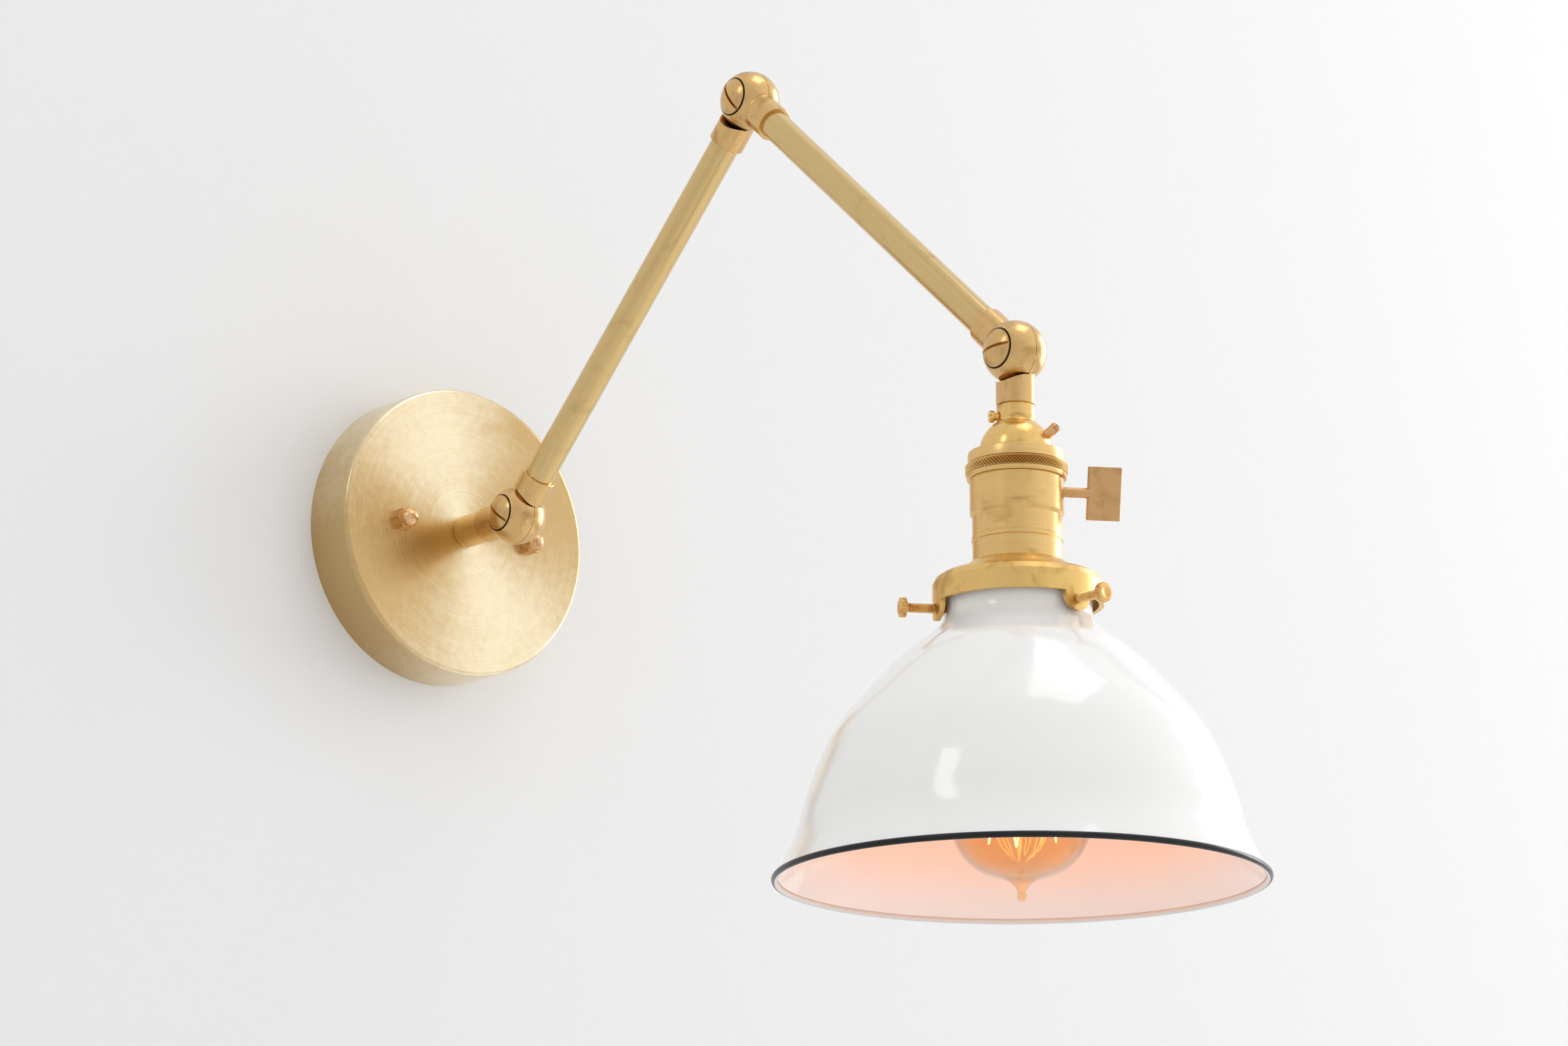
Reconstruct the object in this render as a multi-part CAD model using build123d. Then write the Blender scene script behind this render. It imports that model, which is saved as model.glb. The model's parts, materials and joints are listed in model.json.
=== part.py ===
"""Swing arm wall sconce: canopy, two arms on three ball swivels, keyed socket and enamel dome shade.

Frame: the wall is the plane y = 0, the lamp stands out towards -Y, +Z is up, and the origin is the
centre of the canopy's back. Every swivel turns about an axis parallel to X. Millimetres throughout.
"""
from build123d import *
import os
from math import cos, radians, sin, sqrt

# ---- driving dimensions ------------------------------------------------------------------------
# wall plate
CANOPY_R = 65.6
CANOPY_DEPTH = 27.0
CANOPY_WALL = 1.2
CANOPY_EDGE_R = 2.0
STUD_SPACING = 69.85          # fixture screws, 2-3/4 in apart
BOX_SCREW_SPACING = 88.9      # outlet box screws, 3-1/2 in apart
SLOT_LENGTH = 10.0
SLOT_HALF_WIDTH = 2.4
BAR_LENGTH, BAR_HEIGHT, BAR_THICK = 112.0, 20.0, 2.0
STUD_R = 2.08                 # No. 8 screw
STUD_HOLE_R = 2.5
NUT_FLATS = 8.73
LOCK_NUT_THICK = 3.2
CAP_HEX_HEIGHT = 4.4
CAP_NUT_HEIGHT = 9.2
CAP_DIMPLE_R, CAP_DIMPLE_RISE = 0.9, 0.55
STUD_REACH = 6.0              # how far a stud goes into its cap nut
GROUND_X, GROUND_R = 16.0, 2.0
GROUND_HEAD_R, GROUND_HEAD_THICK = 4.0, 2.2
GROUND_SLOT_WIDTH, GROUND_SLOT_FLOOR = 1.0, 1.2
# lamp pipe parts, 1/8 IP
PIPE_R = 4.9
PIPE_BORE_R = 3.6
PIPE_NUT_FLATS = 14.3
PIPE_NUT_THICK = 4.0
WASHER_R, WASHER_THICK = 9.5, 1.0
NIPPLE_IN, NIPPLE_OUT = 17.0, 38.0
STEM_R = 7.2
# ball swivels, 1 in
BALL_R = 12.7
COLLAR_R = 7.75
COLLAR_END = 22.0             # collar's open end, from the ball's centre
COLLAR_FILLET = 1.6
SADDLE_R = 13.2               # fish-mouth cut that clears the other half
SPLIT_GAP = 0.1               # each half stops this far short of the ball's middle plane
SOCKET_DEPTH = 7.0            # how far a tube goes into a collar
WIRE_BORE_R = 4.2
CAVITY_R, CAVITY_DEPTH, BOSS_R = 9.6, 4.6, 4.4
SCREW_R, SCREW_HOLE_R = 2.5, 2.56
HEAD_R, HEAD_BORE_R = 7.9, 8.2
HEAD_SEAT, HEAD_BACK = 7.2, 7.7
SCREW_REACH = 8.0
SLOT_FLOOR, SLOT_WIDTH = 9.9, 1.15
SPRING_WASHER_R = 7.4
SLOT_ANGLES = (-42.0, -61.0, 5.0)
# arms
ARM_LENGTH = 221.0            # ball centre to ball centre
TUBE_R, TUBE_WALL = 6.35, 1.0
ARM_1_RISE = 43.0             # degrees above level, going out from the wall
ARM_2_RISE = -42.0
SHOULDER_Y = -65.0
WIRE_R = 1.1
WIRE_START = 13.8            # conductors stop outside the ball, where they would bend
WIRE_END = 43.0
WIRE_OFFSETS = ((-1.35, -1.6), (1.35, -1.6))
# socket, distances down from the last ball's centre
NECK_R, NECK_TOP = 7.6, 22.4
DOME_R, DOME_CENTRE = 14.7, 41.5
CAP_WALL = 1.1
CAP_FLANGE_R = 17.5
CAP_PIPE_END, CAP_CEILING = 31.0, 31.5       # end of the nipple in the cap, top of the cap's hollow
SET_SCREW_DOWN, SET_SCREW_ANGLE = 26.8, 150.0
SET_SCREW_R, SET_SCREW_HEAD_R = 1.5, 2.5
SET_SCREW_HEAD, SET_SCREW_END, SET_SCREW_SLOT = 8.6, 10.9, 0.7
SIDE_TUBE_DOWN, SIDE_TUBE_ANGLE, SIDE_TUBE_TILT = 35.2, -65.0, 37.0
SIDE_TUBE_R, SIDE_TUBE_BORE_R = 2.0, 1.3
SIDE_TUBE_START, SIDE_TUBE_LENGTH = -1.6, 5.3
RING_TOP, KNURL_TOP, KNURL_END, RING_END = 41.2, 46.2, 50.5, 52.3
RING_R, KNURL_R, RING_LIP_R = 19.15, 20.3, 19.7
RING_WALL = 0.9
THREAD_R, THREAD_TOP = 17.7, 43.3
SHELL_R, SHELL_STEP, SHELL_END = 18.5, 66.2, 97.0
LOWER_R, LOWER_TOP = 17.6, 67.6
BEAD_R, BEAD_TOP, BEAD_END = 17.95, 75.9, 77.4
SHELL_BORE_R = 16.6
LINER_R, LINER_WALL = 16.5, 0.5
LINER_TOP, LINER_END = 45.0, 95.5
BODY_R, BODY_TOP, BODY_END = 15.8, 46.0, 70.0
TERMINAL_R, TERMINAL_THICK, TERMINAL_SPACING = 2.6, 1.8, 18.0
SOCKET_THREAD_R, SOCKET_THREAD_WALL = 13.9, 0.4
CONTACT_R, CONTACT_PAD_R, CONTACT_THICK = 1.6, 3.6, 0.6
CONTACT_DEPTH = 4.0
KEY_DOWN, KEY_ANGLE, KEY_TURN = 56.2, -30.0, 15.0
KEY_SHAFT_R, KEY_HOLE_R, KEY_SHAFT_START = 2.0, 2.06, 5.0
KEY_PADDLE_START, KEY_PADDLE_END = 28.4, 41.8
KEY_PADDLE_HEIGHT, KEY_PADDLE_THICK = 21.2, 2.6
# shade holder and its thumb screws
HOLDER_TOP, HOLDER_R, HOLDER_END, HOLDER_WALL = 85.9, 33.5, 103.0, 2.0
TAB_ANGLES = (152.0, -88.0, 32.0)
TAB_WIDTH, TAB_END, THUMB_DOWN = 13.0, 110.3, 105.6
THUMB_SHAFT_R, THUMB_HOLE_R = 2.0, 2.06
THUMB_HEAD_R, THUMB_HEAD_START, THUMB_HEAD_END = 3.9, 44.8, 47.8
# shade
SHADE_NECK_R, SHADE_TOP, SHADE_WALL = 29.0, 96.0, 1.1
NECK_LIP_R = 30.8
DOME_POINTS = ((29.0, 106.5), (32.5, 113.0), (42.3, 120.6), (52.6, 130.2), (63.4, 142.0),
               (73.8, 156.0), (80.0, 170.0), (84.6, 184.0), (87.6, 195.0), (90.4, 201.4), (94.9, 209.6))
BRIM_SLOPE = (0.62, 1)        # the dome flares smoothly into its brim
RIM_BEAD_R, RIM_CENTRE = 1.25, (95.2, 210.9)
# lamp
BASE_R, BASE_TOP, BASE_END = 13.0, 74.0, 96.0
GLASS_WALL = 0.8
HOLLOW_SHARE = 0.93           # the hollow's outline stops this far along the wall, above the solid tip
GLASS_POINTS = ((12.6, 96.0), (14.2, 108.0), (18.6, 126.0), (24.6, 150.0), (28.7, 172.0),
                (28.6, 185.0), (26.2, 195.0), (21.4, 203.0), (13.6, 208.4), (6.4, 210.8),
                (2.6, 213.8), (1.7, 216.4))
TIP_R, TIP_END = 2.0, 219.4
STEM_FOOT_R, STEM_ROD_R = 5.5, 2.2
STEM_TOP, STEM_NECK, STEM_END = 90.0, 100.0, 144.0
CAGE_TOP_R, CAGE_END_R, CAGE_TOP, CAGE_END, CAGE_LEGS = 7.5, 16.5, 138.0, 196.0, 12
FILAMENT_R, HOOK_R = 0.3, 0.2

# ---- derived places ----------------------------------------------------------------------------
COLLAR_FLOOR = COLLAR_END - SOCKET_DEPTH
WASHER_BACK = CANOPY_DEPTH - CANOPY_WALL - WASHER_THICK


def outward(rise):
    """Unit vector in the arm plane that leaves the wall at an angle above level."""
    return Vector(0, -cos(radians(rise)), sin(radians(rise)))


SHOULDER = Vector(0, SHOULDER_Y, 0)
ELBOW = SHOULDER + outward(ARM_1_RISE) * ARM_LENGTH
WRIST = ELBOW + outward(ARM_2_RISE) * ARM_LENGTH
TO_WALL, DOWN = 180.0, -90.0
HEAD = Location(WRIST, (180, 0, 0))        # local +Z points down the socket's axis


def along(centre, rise):
    """Place a shape drawn along +Z so that it leaves a ball's centre at the given rise."""
    return Location(centre, (90 - rise, 0, 0))


def facing_wall():
    """Place a shape drawn along +Z, from the wall's plane, so that it stands out from the wall."""
    return Location((0, 0, 0), (90, 0, 0))


def around(angle):
    """Turn a shape drawn along +X to a compass direction of the room, inside the head's frame."""
    return Rot(0, 0, -angle)


# ---- basic shapes ------------------------------------------------------------------------------
def rod(radius, start, end):
    """Solid cylinder about Z between two heights."""
    return Pos(0, 0, start) * Cylinder(radius, end - start, align=(Align.CENTER, Align.CENTER, Align.MIN))


def pipe(outer, inner, start, end):
    """Hollow cylinder about Z between two heights."""
    return rod(outer, start, end) - rod(inner, start, end)


def cross_rod(radius, start, end):
    """Solid cylinder about X between two distances."""
    return Rot(0, 90, 0) * rod(radius, start, end)


def hexagon(flats, start, end):
    """Hexagonal prism about Z, measured across its flats, with its outer corners turned off."""
    prism = Pos(0, 0, start) * extrude(RegularPolygon(flats / 2, 6, major_radius=False), end - start)
    corner = flats / sqrt(3)
    return prism & chamfer(rod(corner, start, end).edges(), 0.35)


def turned(lines):
    """Solid of revolution about Z from closed (radius, height) lines."""
    return revolve(Plane.XZ * make_face(lines), Axis.Z)


def lathe(*points):
    """Solid of revolution about Z from (radius, height) corner points."""
    return turned(Polyline(*points, close=True))


def parallel_curve(curve, gap, count):
    """Spline beside a planar curve, at a fixed distance to its left."""
    places = []
    for step in range(count):
        share = step / (count - 1)
        heading = curve % share
        places.append(curve @ share + Vector(-heading.Y, heading.X) * gap)
    return Spline(*places)


def mirrored_pair(shape, spacing):
    """Two copies of a shape, spaced evenly about the middle along X."""
    return [Pos(side * spacing / 2, 0, 0) * shape for side in (-1, 1)]


# ---- wall plate --------------------------------------------------------------------------------
def make_canopy():
    """Spun brass cup that covers the outlet box."""
    cup = fillet(rod(CANOPY_R, 0, CANOPY_DEPTH).edges().sort_by(Axis.Z)[-1], CANOPY_EDGE_R)
    inside = rod(CANOPY_R - CANOPY_WALL, 0, CANOPY_DEPTH - CANOPY_WALL)
    cup -= fillet(inside.edges().sort_by(Axis.Z)[-1], CANOPY_EDGE_R - CANOPY_WALL)
    cup -= rod(PIPE_R + 0.2, 0, CANOPY_DEPTH)
    for hole in mirrored_pair(rod(STUD_HOLE_R, 0, CANOPY_DEPTH), STUD_SPACING):
        cup -= hole
    return cup


def make_crossbar():
    """Steel strap with tapped stud holes, slots for the box screws and a tapped ground hole."""
    bar = extrude(RectangleRounded(BAR_LENGTH, BAR_HEIGHT, 4.0), BAR_THICK)
    bar -= rod(PIPE_R + 0.25, 0, BAR_THICK)
    for hole in mirrored_pair(rod(STUD_R, 0, BAR_THICK), STUD_SPACING):
        bar -= hole
    slot = extrude(SlotOverall(SLOT_LENGTH, 2 * SLOT_HALF_WIDTH), BAR_THICK)
    for hole in mirrored_pair(slot, BOX_SCREW_SPACING):
        bar -= hole
    return bar - Pos(GROUND_X, 0, 0) * rod(GROUND_R, 0, BAR_THICK)


def make_ground_screw():
    """Slotted grounding screw in the crossbar."""
    top = BAR_THICK + GROUND_HEAD_THICK
    depth = GROUND_HEAD_THICK - GROUND_SLOT_FLOOR
    slot = Pos(0, 0, top - depth / 2) * Box(2 * GROUND_HEAD_R, GROUND_SLOT_WIDTH, depth)
    head = rod(GROUND_HEAD_R, BAR_THICK, top) - slot
    return Pos(GROUND_X, 0, 0) * (head + rod(GROUND_R, 0, BAR_THICK))


def make_studs():
    """Two threaded studs that stand out of the crossbar."""
    return mirrored_pair(rod(STUD_R, 0, CANOPY_DEPTH + STUD_REACH), STUD_SPACING)


def make_lock_nuts():
    """Hexagon nuts that lock the studs to the crossbar."""
    nut = hexagon(NUT_FLATS, BAR_THICK, BAR_THICK + LOCK_NUT_THICK)
    return mirrored_pair(nut - rod(STUD_R, 0, CANOPY_DEPTH), STUD_SPACING)


def make_cap_nuts():
    """Acorn nuts that pull the canopy to the wall."""
    top = CANOPY_DEPTH + CAP_NUT_HEIGHT
    dome_r = NUT_FLATS / 2 - 0.15
    rise = CAP_NUT_HEIGHT - CAP_HEX_HEIGHT
    dome = Pos(0, 0, top - rise) * scale(Sphere(dome_r), (1, 1, rise / dome_r))
    nut = hexagon(NUT_FLATS, CANOPY_DEPTH, CANOPY_DEPTH + CAP_HEX_HEIGHT)
    nut += dome & rod(dome_r, top - rise, top)
    nut -= Pos(0, 0, top + CAP_DIMPLE_RISE) * Sphere(CAP_DIMPLE_R)
    return mirrored_pair(nut - rod(STUD_R, CANOPY_DEPTH, CANOPY_DEPTH + STUD_REACH), STUD_SPACING)


def make_stem():
    """Turned brass stem between the canopy and the first swivel."""
    mouth, spigot_end = -SHOULDER_Y - COLLAR_END, -SHOULDER_Y - COLLAR_FLOOR
    stem = chamfer(rod(STEM_R, CANOPY_DEPTH, mouth).edges(), 0.3) + rod(TUBE_R, mouth, spigot_end)
    return stem - rod(PIPE_R, CANOPY_DEPTH, NIPPLE_OUT) - rod(PIPE_BORE_R, CANOPY_DEPTH, spigot_end)


# ---- ball swivel -------------------------------------------------------------------------------
def make_half(side):
    """One half of a ball swivel with its collar along +Z; side is -1 for the screw-head half."""
    body = Sphere(BALL_R) + rod(COLLAR_R, 0, COLLAR_END)
    waist = body.edges().filter_by(GeomType.CIRCLE).sort_by(Axis.Z)
    root = [edge for edge in waist if BALL_R / 2 < edge.center().Z < BALL_R][0]
    body = fillet(root, COLLAR_FILLET)
    body = chamfer(body.edges().sort_by(Axis.Z)[-1], 0.3)
    saddle = cross_rod(SADDLE_R, -SPLIT_GAP, 2 * BALL_R)
    body -= Rot(0, 0, 180) * saddle if side > 0 else saddle
    body -= rod(TUBE_R, COLLAR_FLOOR, COLLAR_END)
    body -= rod(WIRE_BORE_R, BOSS_R, COLLAR_FLOOR)
    ring = cross_rod(CAVITY_R, 0, CAVITY_DEPTH) - cross_rod(BOSS_R, 0, CAVITY_DEPTH)
    body -= ring if side > 0 else Rot(0, 0, 180) * ring
    if side > 0:
        return body - cross_rod(SCREW_R, 0, SCREW_REACH)
    body -= cross_rod(SCREW_HOLE_R, -BALL_R, 0)
    return body - cross_rod(HEAD_BORE_R, -BALL_R, -HEAD_SEAT)


def make_swivel_screw(slot_angle):
    """Domed, slotted clamp screw that lies flush in the ball."""
    head = Sphere(BALL_R) & cross_rod(HEAD_R, -BALL_R, -HEAD_BACK)
    depth = BALL_R - SLOT_FLOOR
    slot = Pos(-BALL_R + depth / 2, 0, 0) * Box(depth, 2 * BALL_R, SLOT_WIDTH)
    head -= Rot(-slot_angle, 0, 0) * slot
    return head + cross_rod(SCREW_R, -HEAD_BACK, SCREW_REACH)


def make_spring_washer():
    """Steel washer under the screw head that keeps the swivel's friction."""
    start, end = -HEAD_BACK + 0.02, -HEAD_SEAT - 0.05
    return cross_rod(SPRING_WASHER_R, start, end) - cross_rod(SCREW_HOLE_R, start, end)


def make_arm_tube():
    """Arm tube between two collars, drawn from one ball's centre along +Z."""
    return pipe(TUBE_R, TUBE_R - TUBE_WALL, COLLAR_FLOOR, ARM_LENGTH - COLLAR_FLOOR)


def make_wires(start, end):
    """The two insulated conductors over one straight stretch."""
    return [Pos(x, y, 0) * rod(WIRE_R, start, end) for x, y in WIRE_OFFSETS]


# ---- socket ------------------------------------------------------------------------------------
def make_socket_nipple():
    """Reducing nipple that joins the last collar to the socket cap."""
    body = rod(TUBE_R, COLLAR_FLOOR, NECK_TOP) + rod(PIPE_R, NECK_TOP, CAP_PIPE_END)
    return body - rod(PIPE_BORE_R, COLLAR_FLOOR, CAP_PIPE_END)


def make_socket_cap():
    """Neck and dome of the socket, with a flange that the ring holds."""
    neck_meets = DOME_CENTRE - sqrt(DOME_R ** 2 - NECK_R ** 2)
    seat = RING_TOP + RING_WALL
    body = rod(NECK_R, NECK_TOP, DOME_CENTRE) + (Pos(0, 0, DOME_CENTRE) * Sphere(DOME_R)
                                                 & rod(DOME_R, 0, seat))
    root = [e for e in body.edges().filter_by(GeomType.CIRCLE) if abs(e.center().Z - neck_meets) < 0.1]
    body = fillet(root, 1.2) + rod(CAP_FLANGE_R, seat, seat + CAP_WALL)
    hollow = Pos(0, 0, DOME_CENTRE) * Sphere(DOME_R - CAP_WALL) & rod(DOME_R, CAP_CEILING, 2 * DOME_CENTRE)
    body -= hollow
    body -= rod(PIPE_R, NECK_TOP, CAP_CEILING + 0.1)
    body -= Pos(0, 0, SET_SCREW_DOWN) * around(SET_SCREW_ANGLE) * cross_rod(SET_SCREW_R, 0, NECK_R + 1)
    return body - side_tube_place() * rod(SIDE_TUBE_R, 2 * SIDE_TUBE_START, SIDE_TUBE_LENGTH)


def make_set_screw():
    """Small slotted screw that locks the socket cap on its nipple."""
    head = chamfer(cross_rod(SET_SCREW_HEAD_R, SET_SCREW_HEAD, SET_SCREW_END).edges(), 0.45)
    slot = Pos(SET_SCREW_END, 0, 0) * Box(1.8, 3 * SET_SCREW_HEAD_R, SET_SCREW_SLOT)
    screw = cross_rod(SET_SCREW_R, PIPE_R, SET_SCREW_HEAD) + head - slot
    return Pos(0, 0, SET_SCREW_DOWN) * around(SET_SCREW_ANGLE) * screw


def side_tube_place():
    """Where the eyelet leaves the dome, with +Z along the eyelet."""
    base_r = sqrt(DOME_R ** 2 - (DOME_CENTRE - SIDE_TUBE_DOWN) ** 2)
    tilt = Rot(0, 90 + SIDE_TUBE_TILT, 0)
    return around(SIDE_TUBE_ANGLE) * Pos(base_r, 0, SIDE_TUBE_DOWN) * tilt


def make_side_tube():
    """Hollow brass eyelet that stands out of the dome."""
    tube = rod(SIDE_TUBE_R, SIDE_TUBE_START, SIDE_TUBE_LENGTH)
    tube = chamfer(tube.edges().sort_by(Axis.Z)[-1], 0.25)
    return side_tube_place() * (tube - rod(SIDE_TUBE_BORE_R, SIDE_TUBE_START, SIDE_TUBE_LENGTH))


def make_ring():
    """Union ring with a raised grip band, screwed on the socket shell."""
    inner = DOME_R + 0.15
    roof = RING_TOP + RING_WALL
    return lathe((inner, RING_TOP), (RING_R - RING_WALL, RING_TOP), (RING_R, roof),
                 (RING_R, KNURL_TOP), (KNURL_R, KNURL_TOP + 0.3), (KNURL_R, KNURL_END - 0.3),
                 (RING_LIP_R, KNURL_END), (RING_LIP_R, RING_END - 0.5), (RING_LIP_R - 0.5, RING_END),
                 (THREAD_R, RING_END), (THREAD_R, roof), (inner, roof))


def make_shell():
    """Brass socket body: thread, wide part, step, bead and the threaded end for the holder."""
    shell = lathe((SHELL_BORE_R, THREAD_TOP), (THREAD_R, THREAD_TOP), (THREAD_R, RING_END + 0.1),
                  (SHELL_R, RING_END + 0.1), (SHELL_R, SHELL_STEP), (LOWER_R, LOWER_TOP),
                  (LOWER_R, BEAD_TOP - 0.3), (BEAD_R, BEAD_TOP), (BEAD_R, BEAD_END),
                  (LOWER_R, BEAD_END + 0.3), (LOWER_R, SHELL_END), (SHELL_BORE_R, SHELL_END))
    return shell - key_hole(KEY_HOLE_R)


def key_hole(radius):
    """Cutter for the turn key's shaft, from the socket's middle outward."""
    return Pos(0, 0, KEY_DOWN) * around(KEY_ANGLE) * cross_rod(radius, 0, 1.5 * SHELL_R)


def make_liner():
    """Fibre sleeve that insulates the shell."""
    sleeve = pipe(LINER_R, LINER_R - LINER_WALL, LINER_TOP, LINER_END)
    return sleeve - key_hole(KEY_HOLE_R + 0.3)


def make_switch_body():
    """Moulded insulator with the key's bearing, the terminals and the switch."""
    body = chamfer(rod(BODY_R, BODY_TOP, BODY_END).edges(), 0.8) - key_hole(KEY_HOLE_R)
    return body - rod(CONTACT_R, BODY_END - CONTACT_DEPTH, BODY_END)


def make_terminal_screws():
    """Two binding screws on top of the switch body."""
    head = rod(TERMINAL_R, BODY_TOP - TERMINAL_THICK, BODY_TOP)
    head -= Pos(0, 0, BODY_TOP - TERMINAL_THICK) * Box(3 * TERMINAL_R, 0.7, 1.2)
    return mirrored_pair(head, TERMINAL_SPACING)


def make_thread_shell():
    """Contact sleeve that the lamp screws into."""
    cup = pipe(SOCKET_THREAD_R, SOCKET_THREAD_R - SOCKET_THREAD_WALL, BODY_END, BASE_END - 1.0)
    return cup + pipe(SOCKET_THREAD_R, CONTACT_PAD_R + 2.4, BODY_END, BODY_END + CONTACT_THICK)


def make_centre_contact():
    """Sprung tongue that touches the lamp's tip."""
    pad = BODY_END + CONTACT_THICK
    return rod(CONTACT_R, BODY_END - CONTACT_DEPTH, pad) + rod(CONTACT_PAD_R, pad, pad + CONTACT_THICK)


def make_key():
    """Turn key: a round shaft with a flat paddle."""
    shaft = cross_rod(KEY_SHAFT_R, KEY_SHAFT_START, KEY_PADDLE_START + 2.0)
    length = KEY_PADDLE_END - KEY_PADDLE_START
    middle = (KEY_PADDLE_END + KEY_PADDLE_START) / 2
    paddle = Pos(middle, 0, 0) * Box(length, KEY_PADDLE_THICK, KEY_PADDLE_HEIGHT)
    paddle = fillet(paddle.edges(), 0.45)
    key = Rot(KEY_TURN, 0, 0) * (shaft + paddle)
    return Pos(0, 0, KEY_DOWN) * around(KEY_ANGLE) * key


# ---- shade holder ------------------------------------------------------------------------------
def make_holder():
    """Cast fitter ring on the socket, with three tapped tabs."""
    inner = HOLDER_R - HOLDER_WALL
    bell = lathe((LOWER_R, HOLDER_TOP), (LOWER_R + 1.0, HOLDER_TOP), (20.4, HOLDER_TOP + 1.4),
                 (22.4, HOLDER_TOP + 3.3), (30.0, HOLDER_TOP + 5.3), (32.4, HOLDER_TOP + 6.8),
                 (HOLDER_R, HOLDER_TOP + 9.0), (HOLDER_R, HOLDER_END), (inner, HOLDER_END),
                 (inner, HOLDER_TOP + 9.4), (29.4, HOLDER_TOP + 7.4), (21.6, HOLDER_TOP + 5.3),
                 (20.4, HOLDER_TOP + 8.0), (LOWER_R, HOLDER_TOP + 8.0))
    sleeve = pipe(HOLDER_R, inner, HOLDER_END - 1.0, TAB_END)
    reach = TAB_END - TAB_WIDTH / 2
    outline = Pos(0, 0, reach) * cross_rod(TAB_WIDTH / 2, inner - 3, HOLDER_R + 3)
    outline += Pos(HOLDER_R, 0, (HOLDER_END + reach) / 2 - 0.5) * Box(12, TAB_WIDTH, reach - HOLDER_END + 1)
    for angle in TAB_ANGLES:
        bell += sleeve & around(angle) * outline
    for angle in TAB_ANGLES:
        hole = cross_rod(THUMB_HOLE_R, inner - 3, HOLDER_R + 3)
        bell -= Pos(0, 0, THUMB_DOWN) * around(angle) * hole
    return bell


def make_thumb_screw(angle):
    """Thumb screw that presses on the shade's neck."""
    head = cross_rod(THUMB_HEAD_R, THUMB_HEAD_START, THUMB_HEAD_END)
    screw = cross_rod(THUMB_SHAFT_R, SHADE_NECK_R + 0.1, THUMB_HEAD_START) + chamfer(head.edges(), 0.5)
    return Pos(0, 0, THUMB_DOWN) * around(angle) * screw


# ---- shade -------------------------------------------------------------------------------------
def make_shade():
    """Enamelled steel dome with a straight neck, a lip above the screws and a flared brim."""
    dome = Spline(*DOME_POINTS, tangents=((0, 1), BRIM_SLOPE), tangent_scalars=(1, 1))
    dome_in = parallel_curve(dome, SHADE_WALL, 18)
    inner_neck = SHADE_NECK_R - SHADE_WALL
    neck_out = Polyline((inner_neck, SHADE_TOP - 0.5), (NECK_LIP_R, SHADE_TOP - 0.5),
                        (NECK_LIP_R, SHADE_TOP + 0.9), (SHADE_NECK_R, SHADE_TOP + 2.2), dome @ 0)
    edge = Line(dome @ 1, dome_in @ 1)
    neck_in = Line(dome_in @ 0, (inner_neck, SHADE_TOP - 0.5))
    return turned(neck_out + dome + edge + dome_in + neck_in)


def make_rim():
    """Rolled bead round the brim, enamelled black."""
    radius, down = RIM_CENTRE
    return Pos(0, 0, down) * Torus(radius, RIM_BEAD_R)


# ---- lamp --------------------------------------------------------------------------------------
def make_lamp_base():
    """Threaded brass base of the lamp."""
    return lathe((5.0, BASE_TOP), (BASE_R - 2.6, BASE_TOP), (BASE_R, BASE_TOP + 2.4), (BASE_R, BASE_END),
                 (BASE_R - 0.4, BASE_END), (BASE_R - 0.4, BASE_TOP + 2.6), (BASE_R - 2.8, BASE_TOP + 0.4),
                 (5.0, BASE_TOP + 0.4))


def make_lamp_tip():
    """Insulator and centre contact at the end of the lamp's base."""
    return lathe((0, BODY_END + 1.3), (2.4, BODY_END + 1.3), (4.6, BASE_TOP - 0.2), (5.0, BASE_TOP),
                 (5.0, BASE_TOP + 1.0), (0, BASE_TOP + 1.0))


def make_lamp_glass():
    """Blown glass envelope with a drawn tip."""
    outside = Spline(*GLASS_POINTS)
    inside = parallel_curve(outside, GLASS_WALL, 24)
    blunt = GLASS_POINTS[-1]
    mouth = GLASS_POINTS[0]
    envelope = turned(outside + Polyline(blunt, (0, blunt[1]), (0, mouth[1]), mouth))
    start, stop, open_end = inside @ 0, inside @ HOLLOW_SHARE, BASE_END - 1.0
    hollow = turned(Spline(*[inside @ (HOLLOW_SHARE * step / 20) for step in range(21)])
                    + Polyline(stop, (0, stop.Y), (0, open_end), (start.X, open_end), start))
    pip = Pos(0, 0, TIP_END - TIP_R) * Sphere(TIP_R)
    return envelope + pip - hollow


def make_lamp_stem():
    """Glass stem that carries the filament's wires."""
    return rod(STEM_FOOT_R, STEM_TOP, STEM_NECK) + rod(STEM_ROD_R, STEM_NECK, STEM_END)


def cage_point(leg, low):
    """Corner of the filament cage: even legs end high, odd ones low."""
    radius, down = (CAGE_END_R, CAGE_END) if low else (CAGE_TOP_R, CAGE_TOP)
    turn = 360.0 / CAGE_LEGS * leg
    return Vector(radius * cos(radians(turn)), radius * sin(radians(turn)), down)


def make_filament():
    """Squirrel-cage filament: one wire that zigzags round two rings of hooks."""
    corners = [cage_point(leg, leg % 2) for leg in range(CAGE_LEGS)]
    wire = None
    for start, end in zip(corners, corners[1:]):
        piece = Plane(start, z_dir=end - start) * rod(FILAMENT_R, 0, (end - start).length)
        piece += Pos(*start) * Sphere(FILAMENT_R)
        wire = piece if wire is None else wire + piece
    return wire + Pos(*corners[-1]) * Sphere(FILAMENT_R)


def make_filament_hooks():
    """Fine wires from the stem that hold the filament's upper corners."""
    hooks = []
    for leg in range(0, CAGE_LEGS, 2):
        end = cage_point(leg, False)
        start = Vector(end.X, end.Y, 0).normalized() * (STEM_ROD_R + HOOK_R) + Vector(0, 0, CAGE_TOP + 3.0)
        reach = end - start
        hooks.append(Plane(start, z_dir=reach) * rod(HOOK_R, 0, reach.length - 2 * FILAMENT_R))
    return hooks


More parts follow.
